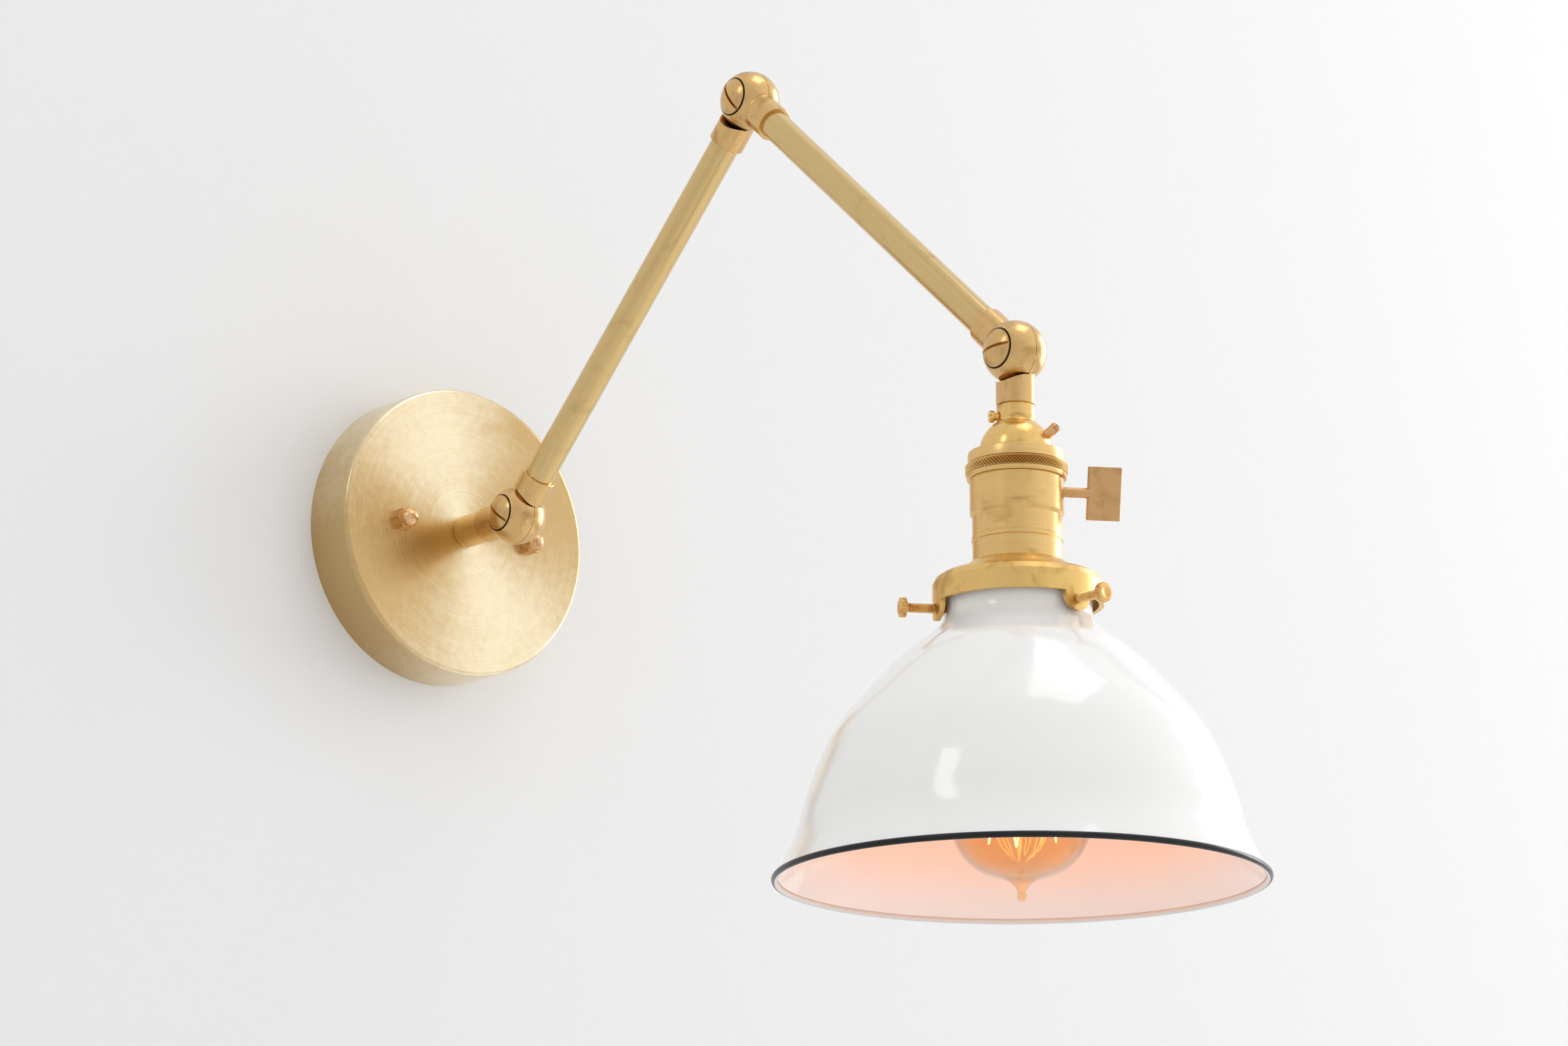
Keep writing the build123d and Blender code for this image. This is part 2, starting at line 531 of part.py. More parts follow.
# ---- assembly ----------------------------------------------------------------------------------
def node(name, place, shape):
    """Write one named node, moved to its place in the lamp's frame."""
    shapes = shape if isinstance(shape, list) else [shape]
    placed = [place * item for item in shapes]
    export_step(placed[0] if len(placed) == 1 else Compound(children=placed), f"parts/{name}.step")


os.makedirs("parts", exist_ok=True)
wall = facing_wall()

node("canopy", wall, make_canopy())
node("crossbar", wall, make_crossbar())
node("ground_screw", wall, make_ground_screw())
node("mounting_studs", wall, make_studs())
node("stud_lock_nuts", wall, make_lock_nuts())
node("cap_nuts", wall, make_cap_nuts())
node("canopy_nipple", wall, pipe(PIPE_R, PIPE_BORE_R, NIPPLE_IN, NIPPLE_OUT))
node("nipple_lock_nut", wall, hexagon(PIPE_NUT_FLATS, WASHER_BACK - PIPE_NUT_THICK, WASHER_BACK)
     - rod(PIPE_R, 0, CANOPY_DEPTH))
node("nipple_washer", wall, pipe(WASHER_R, PIPE_R, WASHER_BACK, WASHER_BACK + WASHER_THICK))
node("stem", wall, make_stem())
node("stem_wires", wall, make_wires(NIPPLE_IN - 3.0, -SHOULDER_Y - WIRE_START))

swivels = (("swivel_1", SHOULDER, TO_WALL, ARM_1_RISE),
           ("swivel_2", ELBOW, ARM_2_RISE, ARM_1_RISE + 180),
           ("swivel_3", WRIST, ARM_2_RISE + 180, DOWN))
for (name, centre, near_rise, far_rise), slot_angle in zip(swivels, SLOT_ANGLES):
    node(f"{name}_near_half", along(centre, near_rise), make_half(-1))
    node(f"{name}_far_half", along(centre, far_rise), make_half(1))
    node(f"{name}_screw", Pos(*centre), make_swivel_screw(slot_angle))
    node(f"{name}_washer", Pos(*centre), make_spring_washer())

for name, centre, rise in (("arm_1", SHOULDER, ARM_1_RISE), ("arm_2", ELBOW, ARM_2_RISE)):
    node(f"{name}_tube", along(centre, rise), make_arm_tube())
    node(f"{name}_wires", along(centre, rise), make_wires(WIRE_START, ARM_LENGTH - WIRE_START))

node("socket_nipple", HEAD, make_socket_nipple())
node("socket_cap", HEAD, make_socket_cap())
node("cap_set_screw", HEAD, make_set_screw())
node("cap_side_tube", HEAD, make_side_tube())
node("socket_ring", HEAD, make_ring())
node("socket_shell", HEAD, make_shell())
node("insulating_liner", HEAD, make_liner())
node("switch_body", HEAD, make_switch_body())
node("terminal_screws", HEAD, make_terminal_screws())
node("socket_thread", HEAD, make_thread_shell())
node("centre_contact", HEAD, make_centre_contact())
node("turn_key", HEAD, make_key())
node("head_wires", HEAD, make_wires(WIRE_START, WIRE_END))
node("shade_holder", HEAD, make_holder())
for number, angle in enumerate(TAB_ANGLES, start=1):
    node(f"thumb_screw_{number}", HEAD, make_thumb_screw(angle))
node("shade", HEAD, make_shade())
node("shade_rim", HEAD, make_rim())
node("lamp_base", HEAD, make_lamp_base())
node("lamp_tip", HEAD, make_lamp_tip())
node("lamp_glass", HEAD, make_lamp_glass())
node("lamp_stem", HEAD, make_lamp_stem())
node("lamp_filament", HEAD, make_filament())
node("filament_hooks", HEAD, make_filament_hooks())
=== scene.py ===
"""Finishes, fine parts and studio of the swing arm wall sconce.

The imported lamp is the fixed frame: the wall is the plane y = 0, the lamp stands out towards -Y, +Z is
up, and every length is in metres. The classes below dress each sub-assembly and build the pieces whose
detail is finer than the solids: knurling, threads, grip edges and the lamp's filament.
"""
import json
import logging
import math
from dataclasses import dataclass, field, replace
from enum import Enum
from typing import Any, Optional, Sequence, Union

import bmesh
import bpy
from mathutils import Matrix, Vector


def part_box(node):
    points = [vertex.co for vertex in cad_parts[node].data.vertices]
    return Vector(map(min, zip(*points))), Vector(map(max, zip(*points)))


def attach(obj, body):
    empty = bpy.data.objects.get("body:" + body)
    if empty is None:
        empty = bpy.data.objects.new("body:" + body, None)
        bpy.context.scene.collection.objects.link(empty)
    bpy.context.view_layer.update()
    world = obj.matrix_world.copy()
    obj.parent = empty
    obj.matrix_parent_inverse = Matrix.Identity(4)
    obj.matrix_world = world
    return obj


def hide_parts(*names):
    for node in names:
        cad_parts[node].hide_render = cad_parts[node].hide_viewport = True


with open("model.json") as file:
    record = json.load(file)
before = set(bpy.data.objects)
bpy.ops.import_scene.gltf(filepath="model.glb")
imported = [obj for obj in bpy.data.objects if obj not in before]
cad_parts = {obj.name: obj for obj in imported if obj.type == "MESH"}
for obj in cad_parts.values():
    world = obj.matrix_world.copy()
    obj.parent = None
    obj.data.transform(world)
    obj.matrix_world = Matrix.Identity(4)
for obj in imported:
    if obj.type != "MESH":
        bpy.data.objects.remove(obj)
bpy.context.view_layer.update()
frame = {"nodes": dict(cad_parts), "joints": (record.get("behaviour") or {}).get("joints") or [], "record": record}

LOG = logging.getLogger("sconce")
MM = 0.001
Colour = tuple[float, float, float]
Mesh, Material, Socket = bpy.types.Mesh, bpy.types.Material, bpy.types.NodeSocket
SEAM_COLOUR = (0.06, 0.035, 0.015)
SEAM_HALF = 0.16 * MM
SEAM_SHARE = 0.9
SEAM_FROM, SEAM_FULL = 5 * MM, 7 * MM
# Painted highlight: two fixed fans of light on the spun canopy face, painted into its colour.
PAINTED_FAN_ANGLE = 116.0
PAINTED_FAN_BASE, PAINTED_FAN_WAVER = 0.75, 0.5
# Painted shade at the bottom of the knurl cuts.
CUT_SHADE_COLOUR = (0.16, 0.09, 0.03)
CUT_SHADE_RISE = 0.60 * MM
CUT_SHADE_SHARE = 0.45
STAIN_FROM, STAIN_FULL, STAIN_SHIFT = 0.62, 0.86, 0.3
STAIN_SHADE, GRAIN_SHADE, SCRATCH_SHADE = 0.75, 0.7, 0.35
STAIN_ROUGH, GRAIN_ROUGH, SCRATCH_BUMP = 0.09, 0.16, 0.15
FACE_SCRATCHES = 260.0
SCRATCH_STRETCH = 0.3


# ---- frame helpers -------------------------------------------------------------------------------
def joint_place(name: str) -> Vector:
    """Give the point that a joint turns about.

    Args:
        name: The joint's name in the record.

    Returns:
        The joint's anchor in the lamp's frame.
    """
    joint = next(j for j in frame["joints"] if j["name"] == name)
    return Vector(joint["pos_m"])


def direction(angle: float) -> Vector:
    """Level unit vector at a compass angle in degrees, from +X towards +Y."""
    return Vector((math.cos(math.radians(angle)), math.sin(math.radians(angle)), 0.0))


@dataclass(frozen=True)
class Axis:
    """A line that a part is turned, drawn or built about."""

    origin: Vector
    along: Vector

    def matrix(self) -> Matrix:
        """Placement whose local +Z runs along the axis."""
        turn = self.along.to_track_quat("Z", "Y").to_matrix().to_4x4()
        return Matrix.Translation(self.origin) @ turn


SHOULDER = joint_place("swivel_1")
ELBOW = joint_place("swivel_2")
WRIST = joint_place("swivel_3")
WALL_AXIS = Axis(Vector((0.0, 0.0, 0.0)), Vector((0.0, -1.0, 0.0)))
ARM_1_AXIS = Axis(SHOULDER, (ELBOW - SHOULDER).normalized())
ARM_2_AXIS = Axis(ELBOW, (WRIST - ELBOW).normalized())
HEAD_AXIS = Axis(WRIST, Vector((0.0, 0.0, -1.0)))
FROM_WALL = Matrix.Rotation(math.pi / 2, 4, "X")


def head_side(down: float, angle: float) -> Axis:
    """Axis that leaves the head's centre line sideways.

    Args:
        down: Distance below the last swivel's centre.
        angle: Compass angle in degrees.

    Returns:
        The sideways axis, from the centre line outward.
    """
    return Axis(WRIST + Vector((0.0, 0.0, -down)), direction(angle))


def link(name: str, data: Optional[bpy.types.ID]) -> bpy.types.Object:
    """Add an object to the scene."""
    thing = bpy.data.objects.new(name, data)
    bpy.context.scene.collection.objects.link(thing)
    return thing


# ---- node writing --------------------------------------------------------------------------------
class Board:
    """A node tree with one way to add nodes to it."""

    def __init__(self, tree: bpy.types.NodeTree) -> None:
        """Keep the tree."""
        self.tree = tree

    def add(self, kind: str, settings: Optional[dict[str, Any]] = None,
            inputs: Optional[dict[Union[str, int], Any]] = None) -> bpy.types.Node:
        """Add one node, with its settings first and its sockets after.

        Args:
            kind: Blender's type name for the node.
            settings: Attributes to set before the sockets.
            inputs: Values or links by socket name or number.

        Returns:
            The new node.
        """
        node = self.tree.nodes.new(kind)
        for name, value in (settings or {}).items():
            setattr(node, name, value)
        for name, value in (inputs or {}).items():
            source = value.socket if isinstance(value, Value) else value
            if isinstance(source, Socket):
                self.tree.links.new(source, node.inputs[name])
            else:
                node.inputs[name].default_value = source
        return node

    def value(self, kind: str, settings: Optional[dict[str, Any]] = None,
              inputs: Optional[dict[Union[str, int], Any]] = None,
              output: Union[str, int] = 0) -> "Value":
        """Add a node and give one of its outputs as a number for sums."""
        return Value(self, self.add(kind, settings, inputs).outputs[output])

    def vector(self, x: Any, y: Any, z: Any) -> Socket:
        """Vector from three components."""
        return self.add("ShaderNodeCombineXYZ", None, {0: x, 1: y, 2: z}).outputs[0]


class Value:
    """A number on a socket. Sums written on it add Math nodes."""

    def __init__(self, board: Board, socket: Socket) -> None:
        """Keep the socket and the board that it is on."""
        self.board = board
        self.socket = socket

    def maths(self, operation: str, first: Any, second: Any = 0.0) -> "Value":
        """Add one Math node for two terms."""
        return self.board.value("ShaderNodeMath", {"operation": operation}, {0: first, 1: second})

    def __add__(self, other: Any) -> "Value":
        """Sum."""
        return self.maths("ADD", self, other)

    __radd__ = __add__

    def __mul__(self, other: Any) -> "Value":
        """Product."""
        return self.maths("MULTIPLY", self, other)

    __rmul__ = __mul__

    def __sub__(self, other: Any) -> "Value":
        """Difference."""
        return self.maths("SUBTRACT", self, other)

    def __rsub__(self, other: Any) -> "Value":
        """Difference from another term."""
        return self.maths("SUBTRACT", other, self)

    def __truediv__(self, other: Any) -> "Value":
        """Quotient."""
        return self.maths("DIVIDE", self, other)

    def __pow__(self, other: Any) -> "Value":
        """Power."""
        return self.maths("POWER", self, other)

    def wave(self, operation: str) -> "Value":
        """Function of one term, such as SINE, COSINE, ARCSINE, FLOOR or SQRT."""
        return self.maths(operation, self)


class Paint(Board):
    """A material under construction, with patterns on Object coordinates."""

    def __init__(self, name: str) -> None:
        """Start an empty material."""
        self.material = bpy.data.materials.new(name)
        self.material.use_nodes = True
        super().__init__(self.material.node_tree)
        self.tree.nodes.clear()
        self.coordinates = self.add("ShaderNodeTexCoord")

    def local(self, axis: Axis) -> Socket:
        """Object coordinates with their origin on an axis and +Z along it."""
        place = axis.matrix()
        return self.add("ShaderNodeMapping", {"vector_type": "TEXTURE"},
                        {"Vector": self.coordinates.outputs["Object"], "Location": place.translation,
                         "Rotation": place.to_euler()}).outputs[0]

    def parts(self, vector: Socket) -> tuple[Value, Value, Value]:
        """Three components of a vector."""
        split = self.add("ShaderNodeSeparateXYZ", None, {0: vector})
        return tuple(Value(self, split.outputs[i]) for i in range(3))

    def polar(self, place: Socket) -> tuple[Value, Value]:
        """Distance from the axis, and distance along it."""
        x, y, z = self.parts(place)
        return (x * x + y * y).wave("SQRT"), z

    def stretch(self, vector: Socket, scale: Sequence[float]) -> Socket:
        """Vector multiplied component by component."""
        return self.add("ShaderNodeVectorMath", {"operation": "MULTIPLY"},
                        {0: vector, 1: tuple(scale)}).outputs[0]

    def noise(self, vector: Socket, scale: float = 1.0, detail: float = 2.0,
              distortion: float = 0.0) -> Value:
        """Even noise about one half."""
        return self.value("ShaderNodeTexNoise", None, {"Vector": vector, "Scale": scale, "Detail": detail,
                                                       "Distortion": distortion}, "Fac")

    def ramp(self, value: Value, low: float, high: float) -> Value:
        """Smooth step from nought at low to one at high."""
        return self.value("ShaderNodeMapRange", {"interpolation_type": "SMOOTHSTEP"},
                          {"Value": value, "From Min": low, "From Max": high}, "Result")

    def blend(self, share: Any, first: Any, second: Any) -> Socket:
        """Mix of two colours."""
        pick = {"data_type": "RGBA"}
        ends = [(*end, 1.0) if isinstance(end, tuple) else end for end in (first, second)]
        return self.add("ShaderNodeMix", pick, {0: share, 6: ends[0], 7: ends[1]}).outputs[2]

    def bump(self, height: Value, depth: float) -> Socket:
        """Normal bent by a height pattern; depth is the height of one unit."""
        return self.add("ShaderNodeBump", None, {"Height": height, "Distance": depth}).outputs[0]

    def surface(self, **inputs: Any) -> bpy.types.Node:
        """The main shader; names use underscores for spaces."""
        named = {name.replace("_", " "): value for name, value in inputs.items()}
        return self.add("ShaderNodeBsdfPrincipled", None, named)

    def finish(self, shader: Socket) -> Material:
        """Connect a shader to the output and give the material."""
        self.add("ShaderNodeOutputMaterial", None, {"Surface": shader})
        return self.material


# ---- finishes ------------------------------------------------------------------------------------
class Grain(Enum):
    """How a metal surface was worked; the value scales the pattern across, across and along the axis."""

    SPUN = (30.0, 30.0, 4600.0)
    TURNED = (130.0, 130.0, 3600.0)
    DRAWN = (2600.0, 2600.0, 26.0)
    SATIN = (1500.0, 1500.0, 1500.0)


@dataclass(frozen=True)
class Metal:
    """A bare metal with brushed grain, soft stains and worn patches.

    Attributes:
        name: Name of the finish.
        clean: Colour where the metal is clean.
        stained: Colour where it has browned.
        roughness: Roughness where it is clean.
        grain: How the surface was worked.
        depth: Height of the grain.
        stain: How much of the surface has browned, from 0 to 1.
        patch: Size of a stain.
        seam: Radius of a dark seam round the axis, or nought for none.
        painted_fans: Strength of two painted highlight fans on a spun face, painted into its colour.
        cut_shade_band: Radius, start and end of a band whose cuts get painted shade, or empty.
    """

    name: str
    clean: Colour
    stained: Colour
    roughness: float
    grain: Grain
    depth: float = 0.03 * MM
    stain: float = 0.35
    patch: float = 14 * MM
    seam: float = 0.0
    painted_fans: float = 0.0
    cut_shade_band: tuple[float, ...] = ()

    def on(self, axis: Axis, label: str = "") -> Material:
        """Make the material for a part that was worked about an axis.

        Args:
            axis: The axis that the grain follows.
            label: Added to the name where one finish is on several axes.

        Returns:
            The material.
        """
        paint = Paint(self.name + label)
        place = paint.local(axis)
        line = self._grain(paint, place)
        fine = paint.noise(paint.stretch(place, self._scratch_scale()), 1.0, 1.0)
        cloud = paint.noise(place, 1.0 / self.patch, 4.0, 0.6)
        shift = STAIN_SHIFT * self.stain
        stained = paint.ramp(cloud, STAIN_FROM - shift, STAIN_FULL - shift)
        shade = stained * STAIN_SHADE + (line - 0.5) * GRAIN_SHADE + (fine - 0.5) * SCRATCH_SHADE
        if self.painted_fans:
            # Painted highlight: the colour darkens away from the two fans, standing in for the reflections of a
            # spun face.
            shade = shade + (1.0 - self._painted_fan_highlight(paint, place)) * self.painted_fans
        colour = paint.blend(paint.ramp(shade, -0.3, 1.0), self.clean, self.stained)
        if self.seam:
            colour = paint.blend(self._seam(paint, place), colour, SEAM_COLOUR)
        # Painted shade: the bottom of the knurl cuts is darkened.
        if self.cut_shade_band:
            colour = paint.blend(self._painted_cut_shade(paint, place), colour, CUT_SHADE_COLOUR)
        rough = self.roughness + stained * STAIN_ROUGH + (line - 0.5) * GRAIN_ROUGH
        normal = paint.bump(line + fine * SCRATCH_BUMP, self.depth)
        return paint.finish(paint.surface(Base_Color=colour, Metallic=1.0, Roughness=rough,
                                          Normal=normal).outputs[0])

    def _grain(self, paint: Paint, place: Socket) -> Value:
        """Pattern of the tool's marks."""
        if self.grain is Grain.SPUN:
            x, y, _ = paint.parts(place)
            radius = (x * x + y * y).wave("SQRT")
            across, _, along = self.grain.value
            return paint.noise(paint.vector(x * across, y * across, radius * along), 1.0, 3.0)
        return paint.noise(paint.stretch(place, self.grain.value), 1.0, 3.0)

    def _painted_cut_shade(self, paint: Paint, place: Socket) -> Value:
        """Painted shade: one at the bottom of the cuts of a knurled band."""
        radius, along = paint.polar(place)
        root, start, end = self.cut_shade_band
        edge = 0.1 * MM
        low = 1.0 - paint.ramp(radius, root, root + CUT_SHADE_RISE)
        inside = paint.ramp(along, start, start + edge) * (1.0 - paint.ramp(along, end - edge, end))
        return low * inside * CUT_SHADE_SHARE

    def _painted_fan_highlight(self, paint: Paint, place: Socket) -> Value:
        """Two opposite painted highlight wedges on a spun face, soft at their sides."""
        x, y, _ = paint.parts(place)
        lean = math.radians(PAINTED_FAN_ANGLE)
        across = x * math.cos(lean) + y * math.sin(lean)
        share = across * across / (x * x + y * y + 1e-7)
        waver = paint.noise(place, 40.0, 2.0)
        return share * (PAINTED_FAN_BASE + waver * PAINTED_FAN_WAVER)

    def _seam(self, paint: Paint, place: Socket) -> Value:
        """One on a fine ring round the axis, on its outer end only."""
        radius, along = paint.polar(place)
        gap = (radius - self.seam).wave("ABSOLUTE")
        ring = 1.0 - paint.ramp(gap, SEAM_HALF, 2.2 * SEAM_HALF)
        return ring * paint.ramp(along, SEAM_FROM, SEAM_FULL) * SEAM_SHARE

    def _scratch_scale(self) -> Colour:
        """Scale of the fine scratches, which run the way of the grain."""
        if self.grain is Grain.SPUN:
            return (FACE_SCRATCHES,) * 3
        return tuple(SCRATCH_STRETCH * size for size in self.grain.value)


@dataclass(frozen=True)
class Enamel:
    """Fired enamel: glossy, a little wavy, and warmer inside the shade with a painted glow of the bulb.

    Attributes:
        name: Name of the finish.
        colour: Colour of the outside.
        inside: Colour of the inner side, or None where both sides are alike: on the white shade a painted warm
            glow of the bulb, on the rim its pale inner enamel.
        roughness: Roughness of the gloss.
        coat: Weight of the clear coat.
        mirror: Strength of the mirror reflection.
    """

    name: str
    colour: Colour
    inside: Optional[Colour] = None
    roughness: float = 0.09
    coat: float = 0.4
    mirror: float = 0.6

    def on(self, axis: Axis, top: float = 0.0, brim: float = 1.0) -> Material:
        """Make the material.

        Args:
            axis: Centre line of the shade.
            top: Distance along the axis where the inside colour, the painted glow, is full.
            brim: Distance where it has faded.

        Returns:
            The material.
        """
        paint = Paint(self.name)
        place = paint.local(axis)
        _, _, down = paint.parts(place)
        cloud = paint.noise(place, 34.0, 3.0)
        speck = paint.ramp(paint.noise(place, 900.0, 2.0), 0.70, 0.78)
        deeper = tuple(0.93 * part for part in self.colour)
        colour = paint.blend(cloud * 0.35 + speck * 0.25, self.colour, deeper)
        if self.inside is not None:
            # Painted light: inside, the colour is warmest near the lamp and fades towards the brim, standing in
            # for the bulb's glow.
            warm = 1.0 - paint.ramp(down + (cloud - 0.5) * 0.02, top, brim)
            painted_glow_colour = paint.blend(warm, tuple(0.8 * a + 0.2 * b for a, b in zip(self.colour, self.inside)),
                                 self.inside)
            colour = paint.blend(self._inner_side(paint, place), colour, painted_glow_colour)
        wavy = paint.noise(place, 55.0, 1.0) + paint.noise(place, 420.0, 2.0) * 0.06
        return paint.finish(paint.surface(
            Base_Color=colour, Roughness=self.roughness + cloud * 0.06, Normal=paint.bump(wavy, 0.35 * MM),
            Coat_Weight=self.coat, Coat_Roughness=0.04, Specular_IOR_Level=self.mirror).outputs[0])

    def _inner_side(self, paint: Paint, place: Socket) -> Value:
        """One on faces that look towards the centre line."""
        across = paint.stretch(paint.add("ShaderNodeVectorMath", {"operation": "SUBTRACT"}, {
            0: paint.coordinates.outputs["Object"], 1: tuple(WRIST)}).outputs[0], (1.0, 1.0, 0.0))
        facing = paint.value("ShaderNodeVectorMath", {"operation": "DOT_PRODUCT"},
                             {0: across, 1: paint.coordinates.outputs["Normal"]}, "Value")
        return paint.value("ShaderNodeMath", {"operation": "LESS_THAN"}, {0: facing, 1: 0.0})


@dataclass(frozen=True)
class Moulded:
    """Paint, fibre, plastic or sheathing: matt or half glossy, with a fine grain.

    Attributes:
        name: Name of the finish.
        colour: Main colour.
        mottle: Colour of the grain.
        roughness: Roughness.
        grain: Number of grains in a metre.
        depth: Height of the grain.
    """

    name: str
    colour: Colour
    mottle: Colour
    roughness: float = 0.5
    grain: float = 900.0
    depth: float = 0.05 * MM

    def on(self, axis: Axis, label: str = "") -> Material:
        """Make the material, with its grain placed on an axis."""
        paint = Paint(self.name + label)
        place = paint.local(axis)
        grain = paint.noise(place, self.grain, 3.0)
        cloud = paint.noise(place, self.grain * 0.09, 2.0)
        colour = paint.blend(paint.ramp(grain * 0.6 + cloud * 0.4, 0.35, 0.65), self.colour, self.mottle)
        rough = self.roughness + (cloud - 0.5) * 0.2
        return paint.finish(paint.surface(Base_Color=colour, Roughness=rough,
                                          Normal=paint.bump(grain, self.depth)).outputs[0])


@dataclass(frozen=True)
class Glass:
    """Thin tinted glass, seen through and glossy.

    Attributes:
        name: Name of the finish.
        face: Tint where it is seen square on.
        edge: Tint where it is seen along the wall.
        gloss: Roughness of the reflection.
    """

    name: str
    face: Colour
    edge: Colour
    gloss: float = 0.03

    def on(self, axis: Axis) -> Material:
        """Make the material, with faint ripples in the glass."""
        paint = Paint(self.name)
        place = paint.local(axis)
        ripple = paint.bump(paint.noise(place, 120.0, 2.0), 0.05 * MM)
        slant = paint.value("ShaderNodeLayerWeight", None, {"Blend": 0.5}, "Facing")
        film = [paint.add("ShaderNodeBsdfTransparent", None, {"Color": (*tint, 1.0)}).outputs[0]
                for tint in (self.face, self.edge)]
        through = paint.add("ShaderNodeMixShader", None, {0: slant ** 2.5, 1: film[0], 2: film[1]})
        shine = paint.add("ShaderNodeBsdfGlossy", None, {"Roughness": self.gloss, "Normal": ripple})
        amount = slant ** 4.0 * 0.85 + 0.06
        both = paint.add("ShaderNodeMixShader", None, {0: amount, 1: through.outputs[0],
                                                       2: shine.outputs[0]})
        return paint.finish(both.outputs[0])


@dataclass(frozen=True)
class Glow:
    """A hot filament, brightest along its middle turns.

    Attributes:
        name: Name of the finish.
        hot: Colour of the hottest stretch.
        warm: Colour of the cooler ends.
        strength: Strength of the light that it gives.
    """

    name: str
    hot: Colour
    warm: Colour
    strength: float

    def on(self, axis: Axis) -> Material:
        """Make the material, with the coil's fine turns."""
        paint = Paint(self.name)
        place = paint.local(axis)
        coil = paint.noise(place, 2500.0, 1.0)
        heat = paint.blend(paint.ramp(coil, 0.3, 0.7), self.warm, self.hot)
        return paint.finish(paint.surface(
            Base_Color=(*self.warm, 1.0), Roughness=0.5, Emission_Color=heat,
            Emission_Strength=self.strength, Normal=paint.bump(coil, 0.05 * MM)).outputs[0])


# The canopy's painted highlight fans take its clean colour. The face between them takes its stained colour as
# painted shade.
CANOPY = Metal("spun_canopy_brass", (0.94, 0.82, 0.58), (0.58, 0.40, 0.18), 0.22, Grain.SPUN,
               0.05 * MM, 0.05, 60 * MM, painted_fans=0.95)
STEM = Metal("stem_brass", (0.80, 0.55, 0.22), (0.50, 0.29, 0.10), 0.20, Grain.TURNED, 0.02 * MM, 0.4)
BALL = Metal("satin_ball_brass", (0.72, 0.47, 0.20), (0.46, 0.27, 0.10), 0.24, Grain.SATIN,
             0.01 * MM, 0.3, 9 * MM, 8.05 * MM)
CLAMP = Metal("clamp_screw_brass", (0.70, 0.45, 0.19), (0.50, 0.31, 0.13), 0.25, Grain.SATIN,
              0.01 * MM, 0.4, 5 * MM, 7.85 * MM)
ARM = Metal("drawn_arm_brass", (0.70, 0.51, 0.23), (0.42, 0.27, 0.10), 0.17, Grain.DRAWN,
            0.04 * MM, 0.25, 18 * MM)
SOCKET = Metal("turned_socket_brass", (0.80, 0.54, 0.22), (0.54, 0.32, 0.11), 0.30, Grain.TURNED,
               0.02 * MM, 0.3, 12 * MM)
CAP = Metal("cap_brass", (0.84, 0.57, 0.21), (0.55, 0.31, 0.09), 0.22, Grain.TURNED, 0.02 * MM, 0.4,
            8 * MM)
HOLDER = Metal("cast_holder_brass", (0.82, 0.55, 0.20), (0.56, 0.34, 0.10), 0.32, Grain.SATIN,
               0.03 * MM, 0.45, 11 * MM)
KEY = Metal("tumbled_key_brass", (0.66, 0.40, 0.18), (0.52, 0.32, 0.14), 0.46, Grain.SATIN,
            0.04 * MM, 0.5, 10 * MM)
THUMB = Metal("thumb_screw_brass", (0.82, 0.52, 0.20), (0.50, 0.25, 0.08), 0.30, Grain.TURNED,
              0.02 * MM, 0.55, 4 * MM)
COPPER = Metal("side_tube_brass", (0.80, 0.46, 0.22), (0.50, 0.24, 0.10), 0.28, Grain.TURNED,
               0.02 * MM, 0.5, 3 * MM)
NUT = Metal("cap_nut_brass", (0.82, 0.52, 0.27), (0.50, 0.27, 0.12), 0.24, Grain.SATIN, 0.01 * MM,
            0.5, 4 * MM)
STRAP = Metal("plated_strap_steel", (0.72, 0.72, 0.70), (0.50, 0.49, 0.44), 0.36, Grain.SATIN,
              0.02 * MM, 0.4)
SPRING = Metal("spring_steel", (0.48, 0.48, 0.50), (0.30, 0.29, 0.30), 0.32, Grain.TURNED)
SCREW_GREEN = Metal("green_ground_screw", (0.10, 0.42, 0.18), (0.05, 0.22, 0.09), 0.34, Grain.SATIN)
CONTACT = Metal("contact_brass", (0.82, 0.66, 0.36), (0.56, 0.42, 0.20), 0.30, Grain.TURNED)
SUPPORT = Metal("support_wire", (0.58, 0.55, 0.52), (0.36, 0.33, 0.30), 0.35, Grain.SATIN)
SHEATH = Moulded("wire_sheath", (0.045, 0.045, 0.05), (0.08, 0.08, 0.085), 0.45, 1500.0)
FIBRE = Moulded("liner_fibre", (0.16, 0.15, 0.14), (0.28, 0.26, 0.23), 0.85, 1800.0, 0.12 * MM)
MOULDING = Moulded("switch_moulding", (0.020, 0.018, 0.017), (0.05, 0.045, 0.04), 0.38, 1100.0)
INSULATOR = Moulded("lamp_insulator", (0.03, 0.03, 0.035), (0.10, 0.10, 0.11), 0.25, 1200.0)
# The white enamel's inside colour is a painted warm glow of the bulb.
WHITE = Enamel("white_enamel", (0.90, 0.90, 0.895), (0.95, 0.70, 0.58))
BLACK = Enamel("black_rim_enamel", (0.008, 0.009, 0.010), (0.80, 0.80, 0.79), 0.22, 0.0, 0.3)
AMBER = Glass("amber_lamp_glass", (0.985, 0.86, 0.66), (1.0, 0.97, 0.93))
CLEAR = Glass("clear_stem_glass", (0.98, 0.96, 0.93), (0.88, 0.84, 0.76))
HOT = Glow("hot_filament", (1.0, 0.72, 0.30), (1.0, 0.50, 0.12), 9.0)


